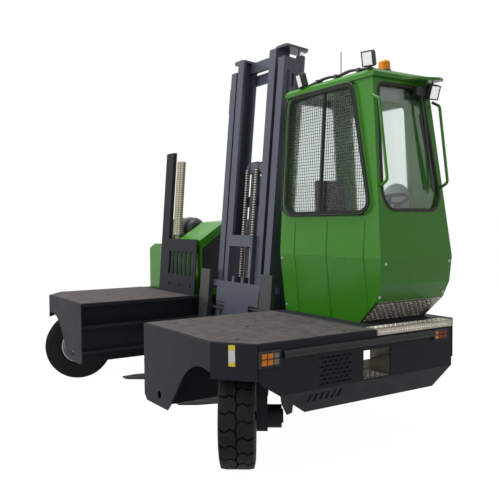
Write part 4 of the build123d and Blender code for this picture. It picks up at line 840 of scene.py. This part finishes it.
@dataclass
class Wheel:
    """One solid tyre with block tread, and the nuts on its disc.

    Start and length of a tread block are shares of the pitch from block to block.
    """

    side: str
    place: Point
    turn: float
    leg_side: int
    radius: float
    width: float
    rim: float
    nut_ring: float = 0.085
    lugs: int = 20
    groove: float = 0.022
    root: float = 0.006
    block_start: float = 0.06
    block_length: float = 0.88
    middle: float = 0.004
    zigzag: float = 0.010

    def matrix(self) -> Matrix:
        """Place and steering angle of the wheel's centre."""
        return at(*self.place) @ turned(self.turn, "Z")

    def lug(self) -> Thing:
        """A pair of tread blocks, zigzag in the middle and wrapped over the shoulders."""
        half, pitch = self.width / 2, 2 * math.pi * self.radius / self.lugs
        levels = (self.radius - self.groove - self.root, self.radius)
        # Share of the half width, lead in pitches, and drop in metres.
        columns = (
            (0.0, 0.0, 0.0), (0.34, 0.13, 0.0), (0.62, -0.05, 0.0), (0.93, 0.10, 0.006),
            (1.0, 0.10, 0.042),
        )
        last = len(columns) - 1
        shape = bmesh.new()
        for sign, shift in ((-1, 0.0), (1, pitch * 0.5)):
            sheets = []
            for level in levels:
                sheet = []
                for share, lead, drop in columns:
                    rows = []
                    for k in range(4):
                        along = self.block_start + lead + self.block_length * k / 3
                        zag = 1 - 2 * abs(1 - abs(2 * k / 3 - 1))
                        x = share * half if share else self.middle + self.zigzag * zag
                        angle = (along * pitch + shift) / self.radius
                        r = level - drop
                        spot = (sign * x, r * math.sin(angle), r * math.cos(angle))
                        rows.append(shape.verts.new(spot))
                    sheet.append(rows)
                for one, two in zip(sheet, sheet[1:]):
                    for k in range(3):
                        shape.faces.new((one[k], two[k], two[k + 1], one[k + 1]))
                sheets.append(sheet)
            edge = [(i, 0) for i in range(last)] + [(last, k) for k in range(3)]
            edge += [(i, 3) for i in range(last, 0, -1)] + [(0, k) for k in range(3, 0, -1)]
            foot, head = sheets
            for (i, k), (m, n) in zip(edge, edge[1:] + edge[:1]):
                shape.faces.new((foot[i][k], foot[m][n], head[m][n], head[i][k]))
        return from_bmesh("lug", shape, 0.0025)

    def tyre(self) -> Thing:
        """The carcass with its sidewall ribs, carrying the tread blocks."""
        half, r, bead = self.width / 2, self.radius, self.rim
        base = r - self.groove
        near = [
            (half - 0.020, bead - 0.0015), (half - 0.006, bead + 0.012), (half - 0.002, bead + 0.045),
            (half, r - 0.075), (half - 0.001, r - 0.062), (half + 0.002, r - 0.058),
            (half - 0.004, base - 0.022), (half * 0.90, base - 0.004), (half * 0.45, base + 0.001),
            (0.006, base + 0.002), (0.005, base - 0.008),
        ]
        profile = near + [(-x, high) for x, high in reversed(near)]
        carcass = paint(lathe("carcass", profile, 72), RUBBER)
        step = 2 * math.pi / self.lugs
        blocks = Repeater.lay("blocks", self.lug(), RUBBER, self.lugs, turn=(-step, 0, 0))
        return join(f"solid_tyre_{self.side}", [carcass, blocks])

    def nuts(self) -> Thing:
        """Eight nuts round the disc and a hub cap."""
        face = -self.leg_side
        disc, cap = self.leg_side * 0.030, self.leg_side * 0.030 + face * 0.034
        seat = at(disc + face * 0.008, 0, self.nut_ring)
        nut = moved(hex_head(0.022, 0.014), seat @ turned(90 * face, "Y"))
        nuts = Repeater.lay("nuts", nut, ZINC, 8, turn=(math.radians(45), 0, 0))
        profile = [(cap, 0.0), (cap, 0.046), (cap + face * 0.010, 0.040), (cap + face * 0.012, 0.0)]
        return join(f"wheel_nuts_{self.side}", [nuts, paint(lathe("cap", profile, 24), RIM)])

    def build(self) -> None:
        """Makes the tyre and nuts and puts them on the wheel's body."""
        body = f"wheel_{self.side}_body"
        fit(moved(self.tyre(), self.matrix()), body, "tyre_rubber", f"tyre_{self.side}")
        fit(moved(self.nuts(), self.matrix()), body, "rim_paint")


@dataclass
class Chains:
    """Two leaf chains over the free-lift sheaves, in the mast's frame."""

    offset: float = 0.085
    line: float = -0.2203
    foot: float = 0.505
    head: float = 1.640
    pitch: float = 0.0254
    hose_radius: float = 0.008

    def plates(self, wide: float, deep: float, share: float) -> Thing:
        """One pitch of a chain's plates.

        Args:
            wide: How far the plates reach along their pin.
            deep: How deep they are.
            share: How much of the pitch they fill.

        Returns:
            The plates as a bevelled block.
        """
        half = self.pitch * share / 2
        return brick("link", (-wide / 2, -deep / 2, -half), (wide / 2, deep / 2, half), 0.002)

    def build(self) -> None:
        """Chain runs that ride on the fork carriage, and two hoses between them."""
        count = int((self.head - self.foot) / self.pitch)
        runs = []
        for x in (-self.offset, self.offset):
            start = (x, self.line, self.foot + self.pitch / 2)
            # The pale second run of plates is painted highlight on the dark chain.
            for size, finish in (((0.024, 0.014, 0.99), CHAIN), ((0.030, 0.0175, 0.42), LINK_HIGHLIGHT)):
                runs.append(Repeater.lay("run", self.plates(*size), finish, count,
                                         pitch=(0, 0, self.pitch), start=start))
        y = self.line + 0.022
        for x in (-0.022, 0.010):
            ends = [(x, y, self.foot + 0.02), (x, y, self.head - 0.03)]
            runs.append(paint(tube("hose", ends, self.hose_radius), PLASTIC))
        front = moved(join("leaf_chain_runs", runs), MAST_LEAN)
        fit(front, "fork_carriage_body", "chain_steel", "leaf_chains")
        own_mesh(front)


@dataclass
class WindowGuard:
    """Welded wire guard over the window on the fork side."""

    wire: float = 0.0021
    pitch: float = 0.026
    foot_y: float = 0.2680
    head_y: float = 0.350
    foot_z: float = 1.470
    head_z: float = 2.890
    stand_off: float = 0.030
    first_x: float = 0.83
    last_x: float = 1.93
    first_z: float = 1.86
    last_z: float = 2.87
    bar: float = 0.007
    outline: tuple[Flat, ...] = (
        (0.810, 2.880), (1.690, 2.880), (1.940, 1.880), (1.865, 1.815), (0.880, 1.815), (0.800, 1.880))
    stays: tuple[Flat, ...] = ((0.84, 2.876), (1.66, 2.876), (1.84, 1.817), (0.90, 1.817))

    def wall(self, z: float) -> float:
        """Y of the leaning wall at a height."""
        share = (z - self.foot_z) / (self.head_z - self.foot_z)
        return self.foot_y + (self.head_y - self.foot_y) * share

    def y(self, z: float) -> float:
        """Y of the wires in front of the wall at a height."""
        return self.wall(z) - self.stand_off

    def steps(self, low: float, high: float) -> Iterator[float]:
        """Places from low up to high, a pitch apart."""
        while low < high:
            yield low
            low += self.pitch

    def spans(self, along: int, at_line: float) -> list[float]:
        """Where a line across the outline enters and leaves it.

        Args:
            along: 0 for a line of constant X, 1 for one of constant Z.
            at_line: The constant.

        Returns:
            The two crossings on the other axis, or none.
        """
        hits = []
        for a, b in zip(self.outline, self.outline[1:] + self.outline[:1]):
            p, q = a[along], b[along]
            if (p - at_line) * (q - at_line) < 0:
                t = (at_line - p) / (q - p)
                hits.append(a[1 - along] + (b[1 - along] - a[1 - along]) * t)
        return sorted(hits)[:2]

    def build(self) -> None:
        """Upright and level wires welded into a tube frame on four stays."""
        lines = []
        for x in self.steps(self.first_x, self.last_x):
            lines.append([(x, self.y(z), z) for z in self.spans(0, x)])
        for z in self.steps(self.first_z, self.last_z):
            lines.append([(x, self.y(z) - 2 * self.wire, z) for x in self.spans(1, z)])
        parts = [tube("wire", line, self.wire, sides=1) for line in lines if len(line) == 2]
        rim = [(x, self.y(z), z) for x, z in rounded(self.outline, 0.08)]
        parts.append(tube("rim", rim, self.bar, closed=True))
        for x, z in self.stays:
            parts.append(tube("stay", [(x, self.y(z), z), (x, self.wall(z), z)], self.bar))
        trim("wire_guard", "black_paint", parts, BLACK, ["window_guard"])


@dataclass
class Cab:
    """Trim of the operator's cab."""

    belt_x: float = 2.060
    belt_z: float = 1.470
    top_x: float = 1.885
    top_z: float = 2.890
    roof_z: float = 2.952
    foot_y: float = 0.330
    foot_drop: float = 0.523
    seal: float = 0.018
    corner: float = 0.080
    tread_pitch: float = 0.026
    tread_thick: float = 0.003

    def outer(self, z: float, out: float = 0.0) -> float:
        """X of the outer face at a height above the belt."""
        lean = (self.top_x - self.belt_x) * (z - self.belt_z) / (self.top_z - self.belt_z)
        return self.belt_x + lean + out

    def front(self, z: float) -> float:
        """Y of the wall on the fork side, which folds at the belt."""
        guard = WindowGuard()
        if z >= self.belt_z:
            return guard.wall(z)
        return guard.foot_y + (self.foot_y - guard.foot_y) * (self.belt_z - z) / self.foot_drop

    def seals(self) -> None:
        """Rubber seals round the fixed windows, and the mullion."""
        fork = [(0.830, 2.860), (1.650, 2.860), (1.905, 1.890), (1.840, 1.830), (0.900, 1.830),
                (0.820, 1.900)]
        ring = [(x, self.front(z), z) for x, z in rounded(fork, self.corner)]
        side = [(0.400, 2.845), (0.890, 2.845), (0.990, 1.960), (0.930, 1.845), (0.410, 1.845),
                (0.345, 1.960)]
        pane = [(self.outer(z, -0.004), y, z) for y, z in rounded(side, self.corner)]
        post = [(1.32, self.front(z) - 0.003, z) for z in (1.835, 2.855)]
        trim("window_seals", "black_plastic", [
            tube("seal", ring, self.seal, closed=True),
            tube("seal", pane, self.seal * 0.8, closed=True),
            tube("mullion", post, 0.016),
        ], SEAL)

    def wiper(self) -> None:
        """Wiper arm, blade and motor housing on the outer windscreen."""
        bends = ((0.030, 0.845, 2.80), (0.038, 0.86, 2.45), (0.022, 0.887, 2.02))
        arm = tube("arm", [(self.outer(z, out), y, z) for out, y, z in bends], 0.010, bend=True)
        ends = ((0.83, 2.62), (0.915, 2.00))
        blade = tube("blade", [(self.outer(z, 0.012), y, z) for y, z in ends], 0.011)
        x = self.outer(2.83)
        motor = brick("motor", (x, 0.78, 2.77), (x + 0.06, 0.90, 2.85), 0.012)
        trim("wiper", "black_plastic", [arm, blade, motor], PLASTIC)

    def aerial(self) -> None:
        """Rod aerial on the roof."""
        foot = (1.23, 0.6, self.roof_z)
        rod = tube("rod", [foot, (1.23, 0.6, 3.25)], 0.004)
        base = lathe("base", [(0, 0.0), (0, 0.022), (0.03, 0.012), (0.035, 0.0)], 16)
        moved(base, at(*foot) @ UPRIGHT)
        trim("aerial", "black_plastic", [rod, base], BLACK)

    def tread_bar(self) -> Thing:
        """One raised bar of aluminium tread plate."""
        shape = bmesh.new()
        size = Matrix.Diagonal((0.0150, 0.0045, 0.0032, 1.0))
        bmesh.ops.create_icosphere(shape, subdivisions=1, radius=1.0, matrix=size)
        return from_bmesh("bar", shape)

    def tread(self, name: str, size: Flat, place: Matrix) -> Thing:
        """A tread plate drawn flat at the origin, then placed.

        Args:
            name: Its name.
            size: Its length and width in metres.
            place: Where its lower corner goes.

        Returns:
            The plate with its raised bars.
        """
        (long, wide), thick, pitch = size, self.tread_thick, self.tread_pitch
        plate = paint(brick("plate", (0, 0, 0), (long, wide, thick), 0.001), ALUMINIUM)
        columns, rows = max(int(long / pitch) - 1, 1), max(int(wide / pitch) - 1, 1)
        # An odd number in a row makes the bars' quarter turns alternate from row to row too.
        columns -= 1 - columns % 2
        # The bars' near-white colour is partly wear and partly painted highlight.
        bars = Repeater.lay("bars", self.tread_bar(), BAR_WEAR_AND_HIGHLIGHT, columns * rows, columns, (pitch, 0, 0),
                            (0, pitch, 0), (0, 0, math.radians(90)), (pitch * 0.9, pitch * 0.9, thick))
        return moved(join(name, [plate, bars]), place)

    def treads(self) -> None:
        """Tread plate on the cab's foot, on the deck's edge and in the step."""
        foot, head = Vector((1.762, 0.34, 0.949)), Vector((1.9615, 0.34, 1.126))
        run, wide = (head - foot).normalized(), Vector((0, 1, 0))
        out = wide.cross(run)
        slope = Matrix.Translation(foot + out * 0.001) @ Matrix((wide, run, out)).transposed().to_4x4()
        outward = Matrix(((0, 0, 1), (1, 0, 0), (0, 1, 0))).to_4x4()
        forward = Matrix(((1, 0, 0), (0, 0, -1), (0, 1, 0))).to_4x4()
        trim("tread_plates", "tread_plate", [self.tread(*sheet) for sheet in (
            ("foot_plate", (0.72, (head - foot).length), slope),
            ("edge_plate", (0.116, 0.82), at(1.992, 0.185, 0.9515)),
            ("nosing", (0.82, 0.046), at(2.1145, 0.185, 0.904) @ outward),
            ("step_plate", (0.220, 0.300), at(1.878, 0.036, 0.5905)),
            ("riser_plate", (0.300, 0.076), at(1.8765, 0.036, 0.594) @ outward),
            ("cheek_plate", (0.200, 0.290), at(1.885, 0.3435, 0.596) @ forward),
        )])

    def ribs(self) -> None:
        """Pressed ribs down the wall on the fork side, and bolts at the cover's corners."""
        parts = []
        for x, low in ((0.97, 0.960), (1.41, 0.960), (1.862, 1.045)):
            line = [(x, self.front(z) + 0.003, z) for z in (1.755, 1.470, low)]
            parts.append(paint(tube("rib", line, 0.012), GREEN))
        forward = turned(90, "X")
        parts += bolts(moved(hex_head(0.016, 0.006), forward),
                       [(0.79, self.front(z), z) for z in (1.43, 1.00)], ZINC)
        outer = ((2.0545, 1.43), (1.985, 1.170))
        parts += bolts(moved(hex_head(0.016, 0.006), turned(90, "Z") @ forward),
                       [(x, y, z) for y in (0.325, 1.045) for x, z in outer], ZINC)
        trim("wall_ribs", "green_paint", parts)

    def loom(self) -> None:
        """Wiring loom clipped along the roof's front edge, up to the lamps."""
        path = [(0.99, 0.40, 2.962), (1.15, 0.385, 2.975), (1.30, 0.375, 2.990), (1.45, 0.385, 2.972),
                (1.58, 0.372, 2.992), (1.74, 0.380, 2.972), (1.84, 0.385, 2.966)]
        wires = [tube("wire", path, 0.009, bend=True),
                 tube("wire", [(x, y + 0.020, z - 0.002) for x, y, z in path], 0.007, bend=True)]
        for x in (1.16, 1.40, 1.68):
            wires.append(brick("clip", (x, 0.366, 2.950), (x + 0.03, 0.425, 2.990), 0.004))
        trim("roof_loom", "black_plastic", wires, PLASTIC)

    def pod(self) -> None:
        """Rounded instrument pod on its column beside the steering wheel."""
        x, y, z = 1.60, 0.91, 1.930
        shape = bmesh.new()
        place = at(x, y, z) @ Matrix.Diagonal((0.07, 0.170, 0.155, 1.0))
        bmesh.ops.create_uvsphere(shape, u_segments=32, v_segments=20, radius=1.0, matrix=place)
        ball = paint(from_bmesh("ball", shape, smooth=True), POD)
        column = paint(tube("column", [(x, y, 1.10), (x, y, 1.82)], 0.022), PLASTIC)
        trim("instrument_pod", "black_plastic", [ball, column])

    def blind(self) -> None:
        """Tinted sun blind behind the top of the outer windscreen."""
        top, low = 2.845, 2.715
        outline = [(self.outer(z, inset), z) for z, inset in (
            (top, -0.052), (top, -0.049), (low, -0.049), (low, -0.052))]
        sheet = slab("sun_blind", outline, "Y", 0.40, 0.885, 0.001)
        fit(paint(sheet, TINTED), CHASSIS, "black_plastic")

    def build(self) -> None:
        """Makes all the cab's trim."""
        self.seals()
        self.ribs()
        self.blind()
        self.wiper()
        self.loom()
        self.pod()
        self.aerial()
        self.treads()


@dataclass
class Lamps:
    """Lamp clusters of the side panels, work lamps and the beacon."""

    side_x: float = 2.110
    depth: float = 0.022
    margin: float = 0.014
    bar: float = 0.0035

    def cluster(self, sign: int, y0: float, y1: float, z0: float, z1: float) -> Thing:
        """A black housing with three lens cells behind guard bars.

        Args:
            sign: 1 for the cab's side, -1 for the engine's.
            y0: Its edge towards the forks.
            y1: Its other edge.
            z0: Its foot.
            z1: Its head.

        Returns:
            The cluster; only one ahead of the cab has a clear cell.
        """
        x0, x1 = self.side_x, self.side_x + self.depth
        low, high = sorted((sign * (x0 + 0.0003), sign * (x1 - 0.008)))
        parts = [paint(brick("housing", (low, y0, z0), (high, y1, z1), 0.005), PLASTIC)]
        low, high = sorted((sign * (x1 - 0.010), sign * (x1 - 0.004)))
        cell = (y1 - y0 - 2 * self.margin) / 3
        for i, finish in enumerate((AMBER, AMBER, CLEAR) if y0 < 0 else (AMBER, RED, RED)):
            left = y0 + self.margin + cell * i
            lens = brick("lens", (low, left + 0.004, z0 + 0.018),
                         (high, left + cell - 0.004, z1 - 0.018), 0.004)
            parts.append(paint(lens, finish))
        x = sign * (x1 - 0.001)
        bars = [[(x, y, z0 + (z1 - z0) * share) for y in (y0, y1)] for share in (0.06, 0.52, 0.94)]
        bars += [[(x, y, z) for z in (z0, z1)] for y in (y0 + 0.004, y1 - 0.004)]
        parts += [paint(tube("bar", line, self.bar), BLACK) for line in bars]
        return join("cluster", parts)

    def work_lamp(self, centre: Point, aim: Point, foot: Point) -> Thing:
        """A square work lamp with its reflector, lens and stalk.

        Args:
            centre: The middle of its shell.
            aim: The way it shines.
            foot: Where its stalk is fixed.

        Returns:
            The lamp.
        """
        shell = paint(brick("shell", (-0.052, -0.030, -0.062), (0.052, 0.030, 0.062), 0.016), PLASTIC)
        dish = paint(brick("dish", (-0.041, -0.0335, -0.051), (0.041, -0.0295, 0.051), 0.004), REFLECTOR)
        square = ((-0.045, -0.055), (0.045, -0.055), (0.045, 0.055), (-0.045, 0.055))
        ring = [(x, -0.033, z) for x, z in square]
        rim = paint(tube("rim", ring, 0.006, closed=True), PLASTIC)
        way = Vector(aim).to_track_quat("-Y", "Z").to_matrix().to_4x4()
        head = moved(join("head", [shell, dish, rim]), at(*centre) @ way)
        return join("lamp", [head, paint(tube("stalk", [centre, foot], 0.008), BLACK)])

    def beacon(self) -> Thing:
        """Ribbed amber dome on its black base."""
        base = [(0, 0.0), (0, 0.058), (0.034, 0.058), (0.042, 0.052), (0.042, 0.0)]
        wave = [(0.042, 0.0), (0.042, 0.0505)]
        for i in range(6):
            low, taper = 0.046 + i * 0.010, i * 0.0005
            wave += [(low, 0.0505 - taper), (low + 0.005, 0.0485 - taper)]
        wave += [(0.108, 0.044), (0.118, 0.032), (0.122, 0.0)]
        parts = [paint(lathe("base", base, 40), PLASTIC), paint(lathe("dome", wave, 40), AMBER)]
        return moved(join("dome", parts), at(1.740, 0.620, 2.952) @ UPRIGHT)

    def build(self) -> None:
        """Makes every lamp."""
        places = ((-0.890, -0.712, 0.787, 0.902), (0.786, 0.953, 0.800, 0.893))
        clusters = [self.cluster(sign, *place) for sign in (-1, 1) for place in places]
        trim("lamp_clusters", "amber_lens", clusters, nodes=["side_lamps"])
        trim("work_lamps", "black_plastic", [self.work_lamp(*lamp) for lamp in (
            ((1.845, 0.350, 3.030), (0.35, -1, -0.25), (1.845, 0.375, 2.952)),
            ((0.995, 0.350, 3.015), (-0.2, -1, -0.3), (0.995, 0.375, 2.952)),
            ((1.965, 0.935, 2.810), (1, -0.1, -0.35), (1.965, 0.940, 2.890)),
        )], nodes=["cab_lamps"])
        fit(self.beacon(), CHASSIS, "amber_lens", "beacon")


@dataclass
class Seat:
    """The operator's sprung seat: cushion, back and their link."""

    voxel: float = 0.010
    pressure: float = 4.0
    steps: int = 16
    swell: float = 0.016

    def puff(self, thing: Thing) -> Thing:
        remesh = thing.modifiers.new("remesh", "REMESH")
        remesh.mode, remesh.voxel_size, remesh.use_smooth_shade = "VOXEL", self.voxel, True
        thing = flattened(thing)
        start = [v.co.copy() for v in thing.data.vertices]
        cloth = thing.modifiers.new("cloth", "CLOTH")
        cloth.settings.use_pressure = True
        cloth.settings.uniform_pressure_force = self.pressure
        cloth.settings.effector_weights.gravity = 0
        scene = bpy.context.scene
        for frame in range(1, self.steps + 1):
            scene.frame_set(frame)
        thing = flattened(thing)
        scene.frame_set(1)
        for vertex, was in zip(thing.data.vertices, start):
            step = vertex.co - was
            if step.length > self.swell:
                vertex.co = was + step.normalized() * self.swell
        thing.data.shade_smooth()
        LOG.info("padded %s from %d points", thing.name, len(start))
        return thing

    def build(self) -> None:
        """Makes the pads and the frame between them."""
        pads = (
            ("seat_cushion", (1.015, 0.470, 1.385), (1.445, 0.890, 1.470), ("seat",)),
            ("seat_back", (0.965, 0.485, 1.520), (1.035, 0.875, 2.150), ()),
        )
        for name, low, high, nodes in pads:
            pad = paint(self.puff(brick(name, low, high, 0.030)), CLOTH)
            fit(pad, CHASSIS, "seat_cloth", *nodes)
        base = brick("base", (0.985, 0.45, 1.3603), (1.465, 0.91, 1.380), 0.006)
        side = [(0.94, 1.37), (0.99, 1.37), (1.01, 1.60), (0.955, 1.60)]
        trim("seat_frame", "black_plastic", [base, slab("link", side, "Y", 0.58, 0.78)], PLASTIC)


@dataclass
class Decks:
    """Anti-slip coat, bolts and plain films on the platforms."""

    top: float = 0.950
    coat: float = 0.0012
    film_low: float = 0.133
    film_high: float = 0.181

    def coats(self) -> None:
        """Sanded coat on each deck, up to the cab and the engine bay."""
        plan = [(0.776, -1.086), (1.832, -1.086), (2.096, -0.886), (2.096, 0.163), (0.776, 0.163)]
        far = [(-x, y) for x, y in reversed(plan)]
        high = self.top + self.coat
        parts = [slab("coat", outline, "Z", self.top, high, 0.0) for outline in (plan, far)]
        trim("antislip_coats", "charcoal_paint", parts, DECK)

    def bolts(self) -> None:
        """Bolt heads in both decks and the guard plate."""
        plan = ((0.9475, -0.906), (1.4405, -0.543), (1.8765, -0.906), (2.0265, -0.071))
        spots = [(sign * x, y, self.top) for sign in (-1, 1) for x, y in plan]
        heads = bolts(hex_head(0.020, 0.005), spots, BLACK)
        row = moved(hex_head(0.026, 0.010), turned(90, "X"))
        heads.append(Repeater.lay("row", row, BLACK, 3, pitch=(0.26, 0, 0), start=(-1.40, 0.196, 1.05)))
        trim("deck_bolts", "black_paint", heads)

    def films(self) -> None:
        """Plain films on the chamfered corner, with nothing printed on them."""
        start, end = Vector((1.84, -1.10, 0)), Vector((2.11, -0.895, 0))
        along = (end - start).normalized()
        out = Vector((along.y, -along.x, 0))
        turn = Matrix((along, Vector((0, 0, 1)), -out)).transposed().to_4x4()
        parts = []
        for z0, z1, finish in ((0.902, 0.938, FILM), (0.821, 0.901, PALE_FILM), (0.794, 0.820, FILM)):
            film = brick("film", (self.film_low, z0, -0.0012), (self.film_high, z1, -0.0002), 0.0003)
            parts.append(moved(paint(film, finish), Matrix.Translation(start) @ turn))
        trim("plain_films", "charcoal_paint", parts)

    def tabs(self) -> None:
        """Bent edge stop under each side panel, behind the wheel arch."""
        outline = [(-0.705, 0.600), (-0.650, 0.600), (-0.632, 0.530), (-0.598, 0.505), (-0.606, 0.450),
                   (-0.650, 0.440), (-0.692, 0.520)]
        sides = ((2.094, 2.103), (-2.103, -2.094))
        parts = [slab("tab", outline, "X", low, high, 0.001) for low, high in sides]
        trim("arch_tabs", "charcoal_paint", parts, BLACK)

    def build(self) -> None:
        """Makes what lies on the decks."""
        self.tabs()
        self.coats()
        self.bolts()
        self.films()


@dataclass
class MastTrim:
    """Pipes, films and slotted eye of the outer mast, and the pale cheeks of the sheaves."""

    cheek: float = 0.052
    sheave_y: float = -0.151
    sheave_z: float = 1.640
    pipe: float = 0.006
    pipe_y: float = -0.070
    pipe_foot: float = -0.30

    def cheeks(self) -> None:
        """A thin disc on each side of both chain sheaves."""
        parts = []
        for x in (-0.1035, -0.0675, 0.0665, 0.1025):
            profile = [(x, 0.0), (x, self.cheek), (x + 0.001, self.cheek), (x + 0.001, 0.0)]
            parts.append(moved(lathe("cheek", profile, 32), at(0, self.sheave_y, self.sheave_z)))
        fit(moved(paint(join("sheave_cheeks", parts), ZINC), MAST_LEAN), "free_lift_body", "mast_steel")

    def films(self) -> list[Thing]:
        """A red film over a white one on the upright beside the cab."""
        parts = []
        for low, high, finish in ((1.86, 1.985, RED_FILM), (1.73, 1.859, PALE_FILM)):
            outline = [(-0.150, low), (-0.118, low), (-0.118, high), (-0.150, high)]
            parts.append(paint(slab("film", outline, "X", 0.4856, 0.4864, 0.0), finish))
        return parts

    def pipes(self) -> list[Thing]:
        """Two pipes up each side of the outer mast, and the clips of one pair."""
        parts = []
        for x, rise in ((0.462, 2.05), (0.476, 2.10)):
            for side, top in ((x, rise), (-x, rise - 0.2)):
                ends = [(side, self.pipe_y, self.pipe_foot), (side, self.pipe_y, top)]
                parts.append(paint(tube("pipe", ends, self.pipe), BLACK))
        clip = brick("clip", (0.452, -0.082, -0.012), (0.484, -0.060, 0.012), 0.002)
        return parts + [Repeater.lay("clips", clip, BLACK, 5, pitch=(0, 0, 0.5), start=(0, 0, -0.2))]

    def eye(self) -> list[Thing]:
        """The slotted eye at the mast's head, on the engine's side."""
        bars = ((-0.600, -0.574, 2.285, 2.555), (-0.512, -0.486, 2.285, 2.555),
                (-0.575, -0.511, 2.285, 2.375), (-0.575, -0.511, 2.530, 2.555))
        return [paint(brick("eye", (x0, -0.190, z0), (x1, -0.172, z1), 0.003), MAST)
                for x0, x1, z0, z1 in bars]

    def build(self) -> None:
        """Makes the mast's small parts."""
        self.cheeks()
        parts = join("mast_pipes", self.pipes() + self.films() + self.eye())
        fit(moved(parts, MAST_LEAN), "outer_mast_body", "mast_steel")


@dataclass
class EngineSide:
    """Gasket, side panel, a black strip of painted shade, latch and bottle straps of the engine bay."""

    front: float = 0.282
    foot_z: float = 1.02
    bottle_y: float = 0.59
    bottle_z: float = 1.675
    strap_radius: float = 0.153

    def strap(self, x: float) -> Thing:
        """One strap round the gas bottle, open by 60 degrees."""
        points = []
        for i in range(25):
            angle = math.radians(-60 + i * 300 / 24) + math.pi
            y = self.bottle_y + self.strap_radius * math.sin(angle)
            points.append((x, y, self.bottle_z - self.strap_radius * math.cos(angle)))
        return paint(tube("strap", points, 0.004), ZINC)

    def build(self) -> None:
        """Makes the trim of the bay."""
        front, low = self.front, self.foot_z
        gasket = paint(tube("gasket", [(-1.300, front, 1.498), (-0.785, front, 1.498)], 0.005), SEAL)
        side = [(front + 0.03, low), (front + 0.03, 1.470), (0.60, 1.672), (0.97, 1.705), (0.97, low)]
        panel = paint(slab("panel", side, "X", -0.7848, -0.7800, 0.001), BLACK)
        # A thin black strip on the front face beside the side panel's edge: painted shade.
        strip = [(-0.822, low), (-0.790, low), (-0.790, 1.470), (-0.822, 1.470)]
        knobs_and_shade = [paint(slab("shade", strip, "Y", front - 0.003, front - 0.0003, 0.001), BLACK)]
        for x, y, z, radius in (
            (-1.352, 0.59, 1.675, 0.034), (-1.372, 0.55, 1.735, 0.022), (-1.372, 0.64, 1.73, 0.022),
        ):
            knob = lathe("knob", [(0, 0.0), (0, radius), (0.026, radius), (0.026, 0.0)], 12)
            knobs_and_shade.append(paint(moved(knob, at(x, y, z)), PLASTIC))
        grip = [(-1.47, 0.500, 1.604), (-1.46, 0.482, 1.630), (-1.40, 0.486, 1.640),
                (-1.34, 0.512, 1.646), (-1.33, 0.540, 1.634)]
        latch = paint(tube("latch", grip, 0.013, bend=True), PLASTIC)
        straps = [self.strap(x) for x in (-1.88, -1.58)]
        trim("bay_trim", "black_plastic", [gasket, panel, latch, *knobs_and_shade, *straps])


def main() -> None:
    """Builds the studio, dresses the frame and adds each sub-assembly."""
    logging.basicConfig(level=logging.INFO, format="%(name)s: %(message)s")
    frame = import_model()
    Studio().build()
    dress_frame(frame["nodes"])
    wheels = (
        Wheel("cab_side", (1.717, -0.801, 0.3675), 55.2, 1, 0.3675, 0.250, 0.188),
        Wheel("engine_side", (-1.717, -0.801, 0.3675), -21.5, -1, 0.3675, 0.250, 0.188),
        Wheel("rear", (0.0, 0.820, 0.298), 0.0, 1, 0.298, 0.225, 0.138, nut_ring=0.068, lugs=18),
    )
    trims = (Chains(), WindowGuard(), Cab(), Lamps(), Seat(), Decks(), MastTrim(), EngineSide())
    for part in wheels + trims:
        part.build()


if __name__ == "__main__":
    main()
